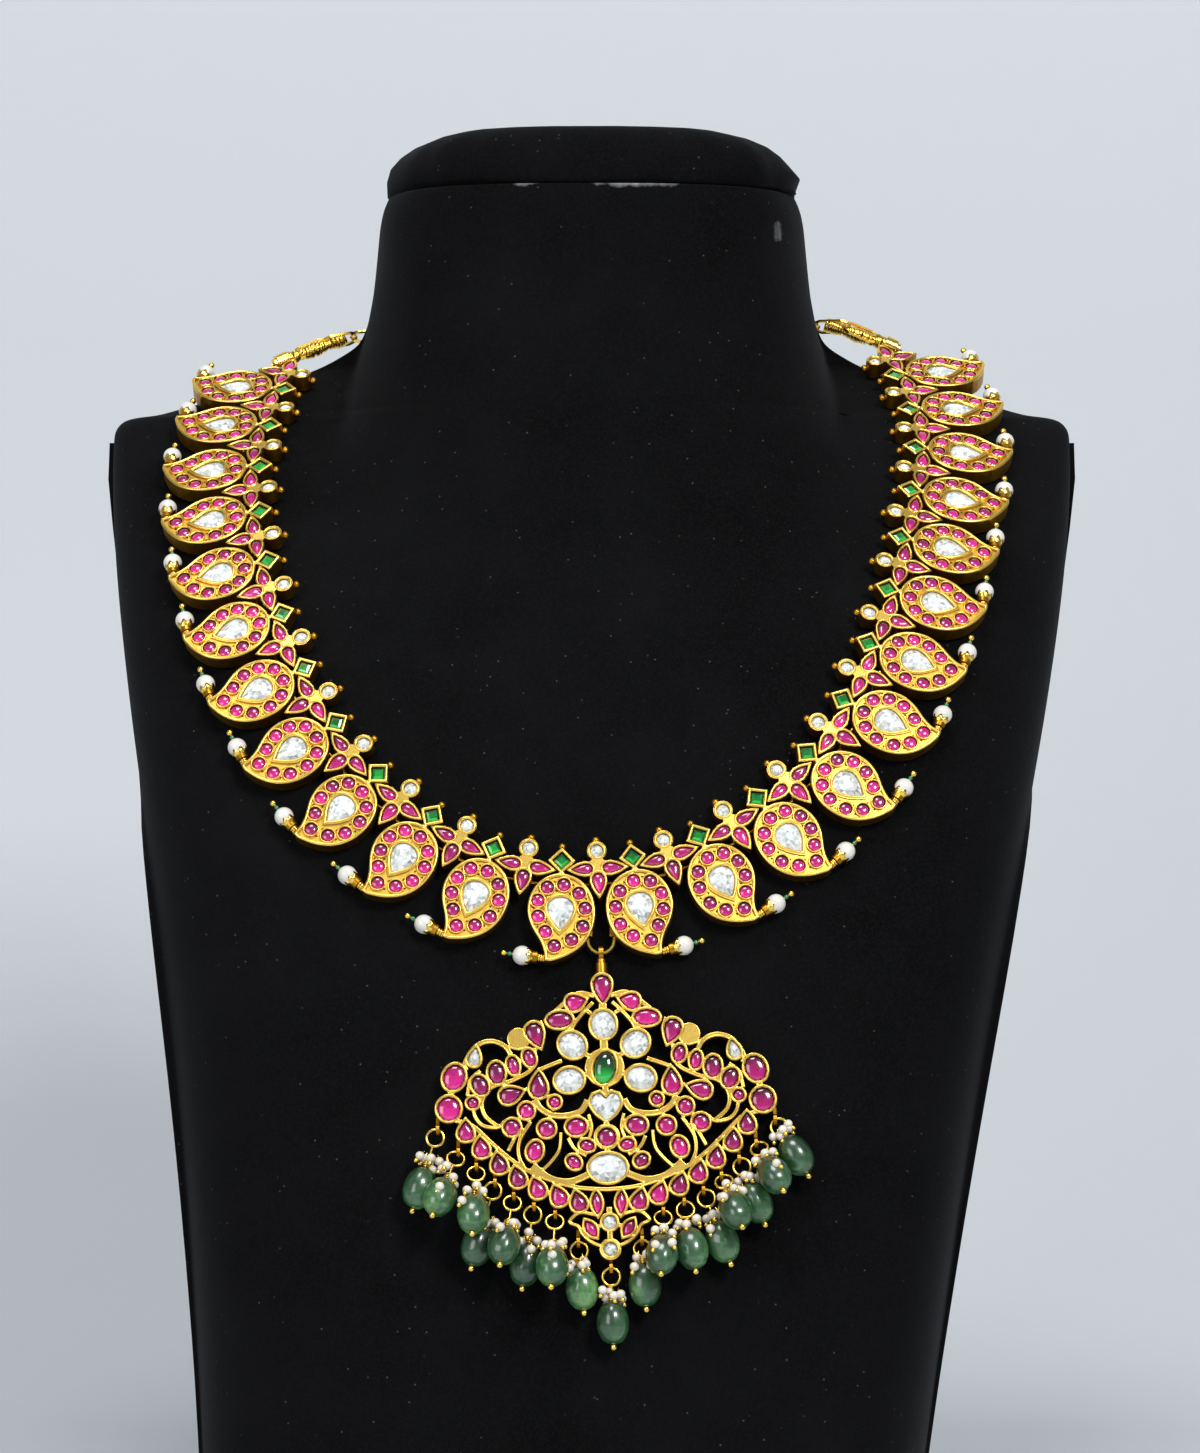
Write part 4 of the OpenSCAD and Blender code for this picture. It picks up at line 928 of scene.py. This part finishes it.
white_at, green_at = part_centres("pendant_kundans"), part_centres("pendant_emerald")
print("pendant white", len(white_at), "green", len(green_at))
whites, green, reds, collars = (Heap() for _ in range(4))
for link in gold_read["pendant_frame"][1]:
    up = link["up"]
    for pocket in link["pockets"]:
        ring = smooth_ring(pocket["ring"], up)
        centre = centre_of(ring)
        lift = up * pocket["sink"]
        if nearest(centre, green_at) < 2 * MM:
            cabochon(green, ring, up, 1.0 * MM, 1.7 * MM, 0.42, 2.0)
        elif nearest(centre, white_at) < 1.6 * MM:
            rose_cut(whites, ring, up, 0.9 * MM, 0.9 * MM, 8 if pocket["area"] < SMALL_WHITE else 12)
        else:
            cabochon(reds, ring, up, 0.8 * MM, 0.85 * MM, 0.46)
        ridge(collars, [p + lift for p in ring], up, -0.03 * MM, 0.74 * MM, 0.28 * MM)
    held = [centre_of(p["ring"]) + up * p["sink"] for p in link["pockets"]]
    for ring in [ring for rings in link["rims"] for ring in rings]:
        if nearest(centre_of(ring), held) > 0.25 * MM and len(ring) > 3:
            ridge(collars, smooth_ring(ring, up, 0.5 * MM, False), up, -0.5 * MM, 0.52 * MM, 0.15 * MM)
whites.build("pendant_whites_cut", [kundan], PENDANT, ["pendant_kundans"])
green.build("pendant_green_cut", [deep_green], PENDANT, ["pendant_emerald"])
reds.build("pendant_rubies_cut", [ruby], PENDANT, ["pendant_rubies"])
collars.build("pendant_collars", [rim_gold], PENDANT)

# %% [markdown]
# The gold itself keeps the goldsmith's solids. Only its finish changes from face to face.
# The board behind the bust is wrapped in the same velvet, so its edges are rounded a little.

# %% Skins of the gold
def finish_with(name, materials):
    """A node's plain materials give way to these."""
    nodes[name].data.materials.clear()
    for material in materials:
        nodes[name].data.materials.append(material)


for name, (skins, _) in gold_read.items():
    finish_with(name, (rim_gold, face_gold, pocket_gold, side_gold))
    nodes[name].data.polygons.foreach_set("material_index", skins)
for name in ("stringing_wire", "chain_end_left", "chain_end_right", "back_chain", "clasp_hook",
             "centre_ring", "drop_wires"):
    finish_with(name, [wire_gold])
finish_with("bust_board", [black_velvet])
rounded = nodes["bust_board"].modifiers.new("rounded", "BEVEL")
rounded.width, rounded.segments = 1.4 * MM, 3
print("finished", len(gold_read), "set pieces of gold and the wire work")

# %% [markdown]
# The bust is a soft form, so its velvet is drawn again at a finer step from the curves of the solid.
# Each level is one slice: the chest swells forward as a rounded slab, and the neck is a narrower one
# that melts into it. Upholstery foam is cut in just this way, slice by slice, and then sanded.
# Low down the form stands a little to one side, and just under the cap the cloth pulls the neck in.
# Sizes here are in millimetres, as in the solid's source.

# %% Sizes of the bust
FOOT_D, LEAN, FALL = 165.5, 0.212, 2
SHOULDER_H, SHOULDER_W, CREST_H = 291, 131.5, 314
NECK_TOP, NECK_D, NECK_W = 350, 64, 58.5
BOARD_T, BLEND, BACK_Y = 8, 8, 82.75
SEAM_Z, CAP_TOP = 352.5, 369
# Growth of the neck below its top: how much, over which height, and how fast
NECK_WIDENS, NECK_DEEPENS = (64, 150, 1.85), (44, 170, 1.6)
CHEST_SQUARE, NECK_SQUARE = 6, 3
FOOT_DRIFT, DRIFT_POWER = -8, 1.7
PINCH, PINCH_FROM, PINCH_POWER = 0.034, 343, 2.5
COLUMNS, FINER, SMOOTH_FROM, SMOOTH_TIMES = 110, 8, 262, 3
# Side of the chest: share of the shoulder's height, share of its half width
SIDE_ROWS = [(0, 0.697), (0.17, 0.735), (0.36, 0.79), (0.55, 0.858), (0.74, 0.934), (0.87, 0.979),
             (0.965, 1), (1, 0.99)]
# Crest of the shoulder: share of its rise, share of the way from the shoulder to the neck
CREST_ROWS = [(0.12, 0.18), (0.24, 0.32), (0.38, 0.5), (0.54, 0.67), (0.68, 0.8)]
# Neck: height, half width
NECK_ROWS = [(309.8, 70.4), (313.6, 64.9), (318, 62.5), (323, 61.2), (330, 60.2), (340, 59.2),
             (346, 58.7), (SEAM_Z, 58.5)]


print("bust", round(2 * SHOULDER_W), "mm wide,", FOOT_D, "mm deep at the foot")


# %% Depth of the velvet
def bulge(q, power):
    """Rounded profile from 1 in the middle to 0 at either edge."""
    return (1 - abs(q) ** power) ** (1 / power) if abs(q) < 1 else 0.0


def neck_half(z):
    """Half width of the neck."""
    grow, over, power = NECK_WIDENS
    return NECK_W + grow * max(0, (NECK_TOP - z) / over) ** power


def depth(x, z, half):
    """Depth of the velvet in front of the back plane."""
    crest = z + FALL * (x / 100) ** 2
    chest = FOOT_D - LEAN * crest - (FOOT_D - LEAN * CREST_H) * (crest / CREST_H) ** 5
    grow, over, power = NECK_DEEPENS
    neck = NECK_D + grow * max(0, min(1, (NECK_TOP - z) / over)) ** power
    a = BOARD_T + (chest - BOARD_T) * bulge(x / half, CHEST_SQUARE)
    b = neck * bulge(x / neck_half(z), NECK_SQUARE)
    return max(BOARD_T + 1.5, max(a, b) + max(BLEND - abs(a - b), 0) ** 2 / (4 * BLEND))


print("chest depth at mid height", round(depth(0, SHOULDER_H / 2, SHOULDER_W), 1), "mm")


# %% Levels of the bust
def through(points, steps):
    """Catmull-Rom curve through pairs of numbers."""
    out = []
    for i in range(len(points) - 1):
        a, b, c, d = (points[max(0, min(len(points) - 1, i + k))] for k in (-1, 0, 1, 2))
        for k in range(steps):
            u = k / steps
            out.append([0.5 * (2 * q + (r - p) * u + (2 * p - 5 * q + 4 * r - t) * u * u
                               + (3 * q - p - 3 * r + t) * u ** 3) for p, q, r, t in zip(a, b, c, d)])
    return [*out, list(points[-1])]


levels = [(q * SHOULDER_H, SHOULDER_W * w) for q, w in SIDE_ROWS]
levels += [(SHOULDER_H + r * (CREST_H - SHOULDER_H), SHOULDER_W + (neck_half(CREST_H) - SHOULDER_W) * q)
           for r, q in CREST_ROWS]
levels = through(levels + NECK_ROWS, FINER)
even = [2 * j / COLUMNS - 1 for j in range(COLUMNS + 1)]
spots = [0.45 * q + 0.55 * math.sin(math.pi / 2 * q) for q in even]
depths = [[depth(half * q, z, half) for q in spots] for z, half in levels]
for _ in range(SMOOTH_TIMES):
    for i in range(1, len(depths) - 1):
        if levels[i][0] > SMOOTH_FROM:
            depths[i] = [(a + 2 * b + c) / 4 for a, b, c in zip(depths[i - 1], depths[i], depths[i + 1])]
print("bust levels", len(levels), "columns", len(spots))


# %% Velvet over the chest and neck
def soft_spot(x, middle, reach, power=2):
    """1 at the middle, fading to 0 beyond the reach."""
    return math.exp(-((x - middle) / reach) ** power)


def scuff(x, z):
    """Where the pile is rubbed off: along the neck's top edge and in one streak on its right."""
    patches = 0.95 * soft_spot(x, -17, 5) + soft_spot(x, 12, 14, 4)
    edge = max(0, 1 - (SEAM_Z - z) / 2.2) * patches
    return max(edge, 0.62 * soft_spot(x, 50.5, 2.2) * soft_spot(z, 341, 5.5))


form = Heap()
rows, wear = [], []
NECK_MIDDLE = (NECK_D + BOARD_T) / 2
for (z, half), row in zip(levels, depths):
    drift = FOOT_DRIFT * max(0, 1 - z / SHOULDER_H) ** DRIFT_POWER
    shrink = 1 - PINCH * max(0, (z - PINCH_FROM) / (SEAM_Z - PINCH_FROM)) ** PINCH_POWER
    half *= shrink
    line = [(half * q, NECK_MIDDLE + (d - NECK_MIDDLE) * shrink) for q, d in zip(spots, row)]
    line += [(half, BOARD_T + 0.1), (-half, BOARD_T + 0.1)]
    rows.append([Vector((drift + x, BACK_Y - d, z)) * MM for x, d in line])
    wear += [scuff(v.x / MM, z) for v in rows[-1]]
form.rows(rows, 0, wear)
form.build("velvet_form", [black_velvet], NECKLACE, ["bust_form"])

# %% [markdown]
# The cap is a pad of board under velvet. Its cloth was glued badly: the edge waves a little,
# and its right corner has come away and stands out in two points.

# %% Cap on the neck
# Share of the cap's height, share of its full width
CAP_ROWS = [(0, 0.92), (0.04, 0.95), (0.1, 0.962), (0.3, 0.962), (0.5, 0.945), (0.66, 0.905),
            (0.79, 0.85), (0.9, 0.77), (0.97, 0.68), (1, 0.55)]
CAP_GAP, EDGE_SAG, TEAR_X, TEAR_OUT = 0.15, 0.5, 56, 2.6
cap = Heap()
rows = []
middle_y = BACK_Y - NECK_MIDDLE
outline = [(NECK_W * q, BACK_Y - d) for q, d in zip(spots, depths[-1])]
outline += [(NECK_W, BACK_Y - BOARD_T), (-NECK_W, BACK_Y - BOARD_T)]
for share, grow in CAP_ROWS:
    points = TEAR_OUT * (soft_spot(share, 0.28, 0.16) + 0.8 * soft_spot(share, 0.04, 0.05))
    row = []
    for i, (x, y) in enumerate(outline):
        a = i / len(outline) * 2 * math.pi
        wave = grow * (1 + 0.006 * math.sin(5 * a + 3 * share) + 0.004 * math.sin(11 * a + 1))
        torn = soft_spot(x, TEAR_X, 3.2) * (y < 60)
        sag = max(-EDGE_SAG * math.sin(3 * a) * (share < 0.1), -0.05)
        row.append(Vector((x * wave + points * torn, middle_y + (y - middle_y) * wave,
                           SEAM_Z + CAP_GAP + share * (CAP_TOP - SEAM_Z) + sag)) * MM)
    rows.append(row)
cap.rows(rows, 0, 0.0)
cap.build("velvet_cap", [black_velvet], NECKLACE, ["bust_cap"])

# %% [markdown]
# Where the last link meets the back chain, the stringing thread is wound and knotted in gold.
# Each knot is a stack of uneven turns of thread with small balls pushed against it.

# %% Thread knots
WINDING, THREAD, KNOT_START, KNOT_END = 0.62 * MM, 0.42 * MM, 2.6 * MM, 2.2 * MM
BALLS_AT = (0.08, 0.36, 0.6, 0.92)


def nudge(reach):
    """A small step in any direction."""
    return Vector([dice.uniform(-reach, reach) for _ in range(3)])


knots = Heap()
chain_at = sorted(part_centres("back_chain"), key=lambda c: c.x)
for end, first in (("chain_end_left", chain_at[1]), ("chain_end_right", chain_at[-2])):
    low, high = (Vector(corner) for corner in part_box(end))
    link_at = (low + high) / 2
    run = (first - link_at).normalized()
    start = link_at - run * KNOT_START
    turns = int(((first - link_at).length + KNOT_END) / WINDING) + 4
    for i in range(turns):
        girth = 1.0 + 0.75 * abs(math.sin(2.5 * math.pi * i / (turns - 1) + 0.5))
        wander = nudge(0.2)
        ring_of_wire(knots, start + run * (i * WINDING) + wander * 0.6 * MM,
                     (run + wander).normalized(), girth * MM, THREAD, 18)
    for share in BALLS_AT:
        at = start + run * (share * turns * WINDING) + nudge(1) * 1.1 * MM
        turned(knots, at, run, ball_profile(dice.uniform(0.8, 1.15) * MM, 7), 14)
knots.build("chain_knots", [wire_gold], NECKLACE)

# %% [markdown]
# A pearl, like a bead, is threaded: its drill hole tells which way the wire runs.
# The faces inside the hole look toward the middle, and two of them give the direction of the hole.

# %% Reading the drill holes
def threaded(name):
    """Middle, direction of the hole, half length and radius of each bead of a node."""
    bm, _ = welded(name)
    found = []
    for part in parts_of(bm):
        points = points_of(part)
        low, high = (Vector([pick(p[i] for p in points) for i in range(3)]) for pick in (min, max))
        rough = (low + high) / 2
        walls = [f for f in part if f.normal.dot(f.calc_center_median() - rough) < 0]
        first = walls[0].normal
        second = max((f.normal for f in walls), key=lambda n: first.cross(n).length)
        axis = first.cross(second).normalized()
        along = [(p - rough).dot(axis) for p in points]
        middle = rough + axis * (max(along) + min(along)) / 2
        away = [((p - middle) - axis * (p - middle).dot(axis)).length for p in points]
        found.append((middle, axis, (max(along) - min(along)) / 2, max(away)))
    bm.free()
    return found


tips = threaded("tip_pearls")
drops = threaded("drop_beads")
print("tip pearl radius", round(tips[0][3] / MM, 2), "drop", [round(v / MM, 1) for v in drops[0][2:]])

# %% [markdown]
# At the tip of each mango a wire neck holds a flared gold cap like a tiny flower, then the pearl,
# a green glass bead and a gold ball that ends the wire.

# %% Tip pearls
PETALS, PETAL_STEPS, SHEET = 7, 6, 0.16 * MM
NECK_START, NECK_TURN, CUP_AT, GLASS_AT, BALL_AT = 6.1 * MM, 0.62 * MM, 3.7 * MM, 3.15 * MM, 4.65 * MM
pearls, fittings = Heap(), Heap()
link_middles = [link["middle"] for name in MANGOES for link in gold_read[name][1]]


def petal_cup(heap, at, axis, r1, r2, length):
    """Flared cup with a scalloped edge, open toward the pearl."""
    # Share of the length, radius, depth of the scallops: up the outside and down the inside
    rows = []
    for z, r, wave in ((0, r1, 0), (0.35, r1 + 0.35 * (r2 - r1), 0.02), (0.7, r1 + 0.75 * (r2 - r1), 0.1),
                       (1, r2, 0.22), (0.98, r2 - SHEET, 0.22), (0.6, r1 + 0.5 * (r2 - r1), 0.05),
                       (0.1, r1 * 0.8, 0)):
        row = []
        for j, out in enumerate(spokes(axis, PETALS * PETAL_STEPS)):
            lobe = wave * math.cos(2 * math.pi * j / PETAL_STEPS)
            row.append(at + axis * (length * z * (1 + lobe)) + out * (r * (1 + 0.25 * lobe)))
        rows.append(row)
    heap.rows(rows, ends=False)


def coil(heap, at, step, axis, radii, wire):
    """Short coil of round wire: one ring for each radius."""
    for i, radius in enumerate(radii):
        ring_of_wire(heap, at + axis * step * i, axis, radius, wire)


for middle, axis, half, r in tips:
    home = min(link_middles, key=lambda m: (m - middle).length)
    out = axis if axis.dot(middle - home) > 0 else -axis
    turned(pearls, middle, out, ball_profile(r * 1.005, 12), 24)
    petal_cup(fittings, middle - out * CUP_AT, out, 1.0 * MM, 2.15 * MM, 2.3 * MM)
    coil(fittings, middle - out * NECK_START, NECK_TURN, out, [0.9 * MM] * 4, 0.32 * MM)
    turned(fittings, middle + out * GLASS_AT, out, ball_profile(0.62 * MM, 6), 10, 1)
    turned(fittings, middle + out * BALL_AT, out, ball_profile(0.84 * MM, 8), 16)
pearls.build("tip_pearls_round", [pearl], NECKLACE, ["tip_pearls"])
fittings.build("tip_fittings", [wire_gold, tiny_green], NECKLACE)

# %% [markdown]
# The green drops are tumbled jade: long ovals, a little uneven, with faint ribs,
# and painted light that is stronger on one side and toward the foot.
# Above each one the wire is wound in a short coil, and seed pearls on pins stand round the coil.
# A pearl that would sit behind the coil or inside the drop is brought forward to where it shows.

# %% Drops
DROP_ROWS, DROP_SIDES, SEEDS_EACH, SEED_R = 18, 32, 6, 1.2 * MM
COIL_START, COIL_TURN, BEHIND, BEFORE = 0.25 * MM, 0.5 * MM, 1.0 * MM, 2.6 * MM
beads, seeds, trims = Heap(), Heap(), Heap()


def jade_drop(heap, middle, down, half, r, turn, shade):
    """Long oval with faint ribs, its painted light stronger on one side and toward its foot."""
    rows, foil = [], []
    for i in range(DROP_ROWS + 1):
        t = math.pi * i / DROP_ROWS
        row = []
        for j, out in enumerate(spokes(down, DROP_SIDES)):
            a = 2 * math.pi * j / DROP_SIDES
            rib = 1 - 0.014 * (1 + math.cos(6 * a + turn)) - 0.008 * math.cos(3 * a + 2 * t + turn)
            row.append(middle - down * (half * math.cos(t))
                       + out * max(r * math.sin(t) ** 0.86 * rib, POINT))
            # Painted light: darker at the top, brighter toward the foot and on one side.
            foil.append(shade - 0.16 * math.cos(t) + 0.12 * math.cos(a + turn))
        rows.append(row)
    heap.rows(rows, 0, foil)


for middle, axis, half, r in drops:
    down = axis if axis.z < 0 else -axis
    u, v = across(down)
    turn, shade = dice.uniform(0, 6.28), dice.uniform(0.25, 0.62)
    jade_drop(beads, middle, down, half, r, turn, shade)
    top = middle - down * half
    turned(trims, middle + down * (half + 0.55 * MM), down, ball_profile(0.8 * MM, 8), 16)
    coil(trims, top - down * COIL_START, -COIL_TURN, down, [0.8 * MM, 0.92 * MM] * 2, 0.24 * MM)
    for i in range(SEEDS_EACH):
        a = turn + i * 2 * math.pi / SEEDS_EACH + dice.uniform(-0.35, 0.35)
        out = u * math.cos(a) + v * math.sin(a)
        at = top + out * dice.uniform(1.7, 3.0) * MM - down * dice.uniform(-0.6, 2.6) * MM
        at.y = min(at.y, top.y + BEHIND)
        if (at - middle).dot(down) > 0.2 * MM - half:
            at.y = min(at.y, middle.y - BEFORE)
        lean = (out * 0.45 + down).normalized()
        turned(seeds, at, lean, ball_profile(SEED_R, 8, 0.92), 14)
        turned(trims, at + lean * 1.6 * MM, lean, ball_profile(0.64 * MM, 6), 12)
        turned(trims, at, lean, [(-1.7 * MM, 0.17 * MM), (1.3 * MM, 0.17 * MM)], 6)
beads.build("drops_of_jade", [jade], PENDANT, ["drop_beads"])
seeds.build("drop_seed_pearls", [seed_pearl], PENDANT)
trims.build("drop_trims", [wire_gold], PENDANT)

# %% Size of the dressed model
low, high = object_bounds()
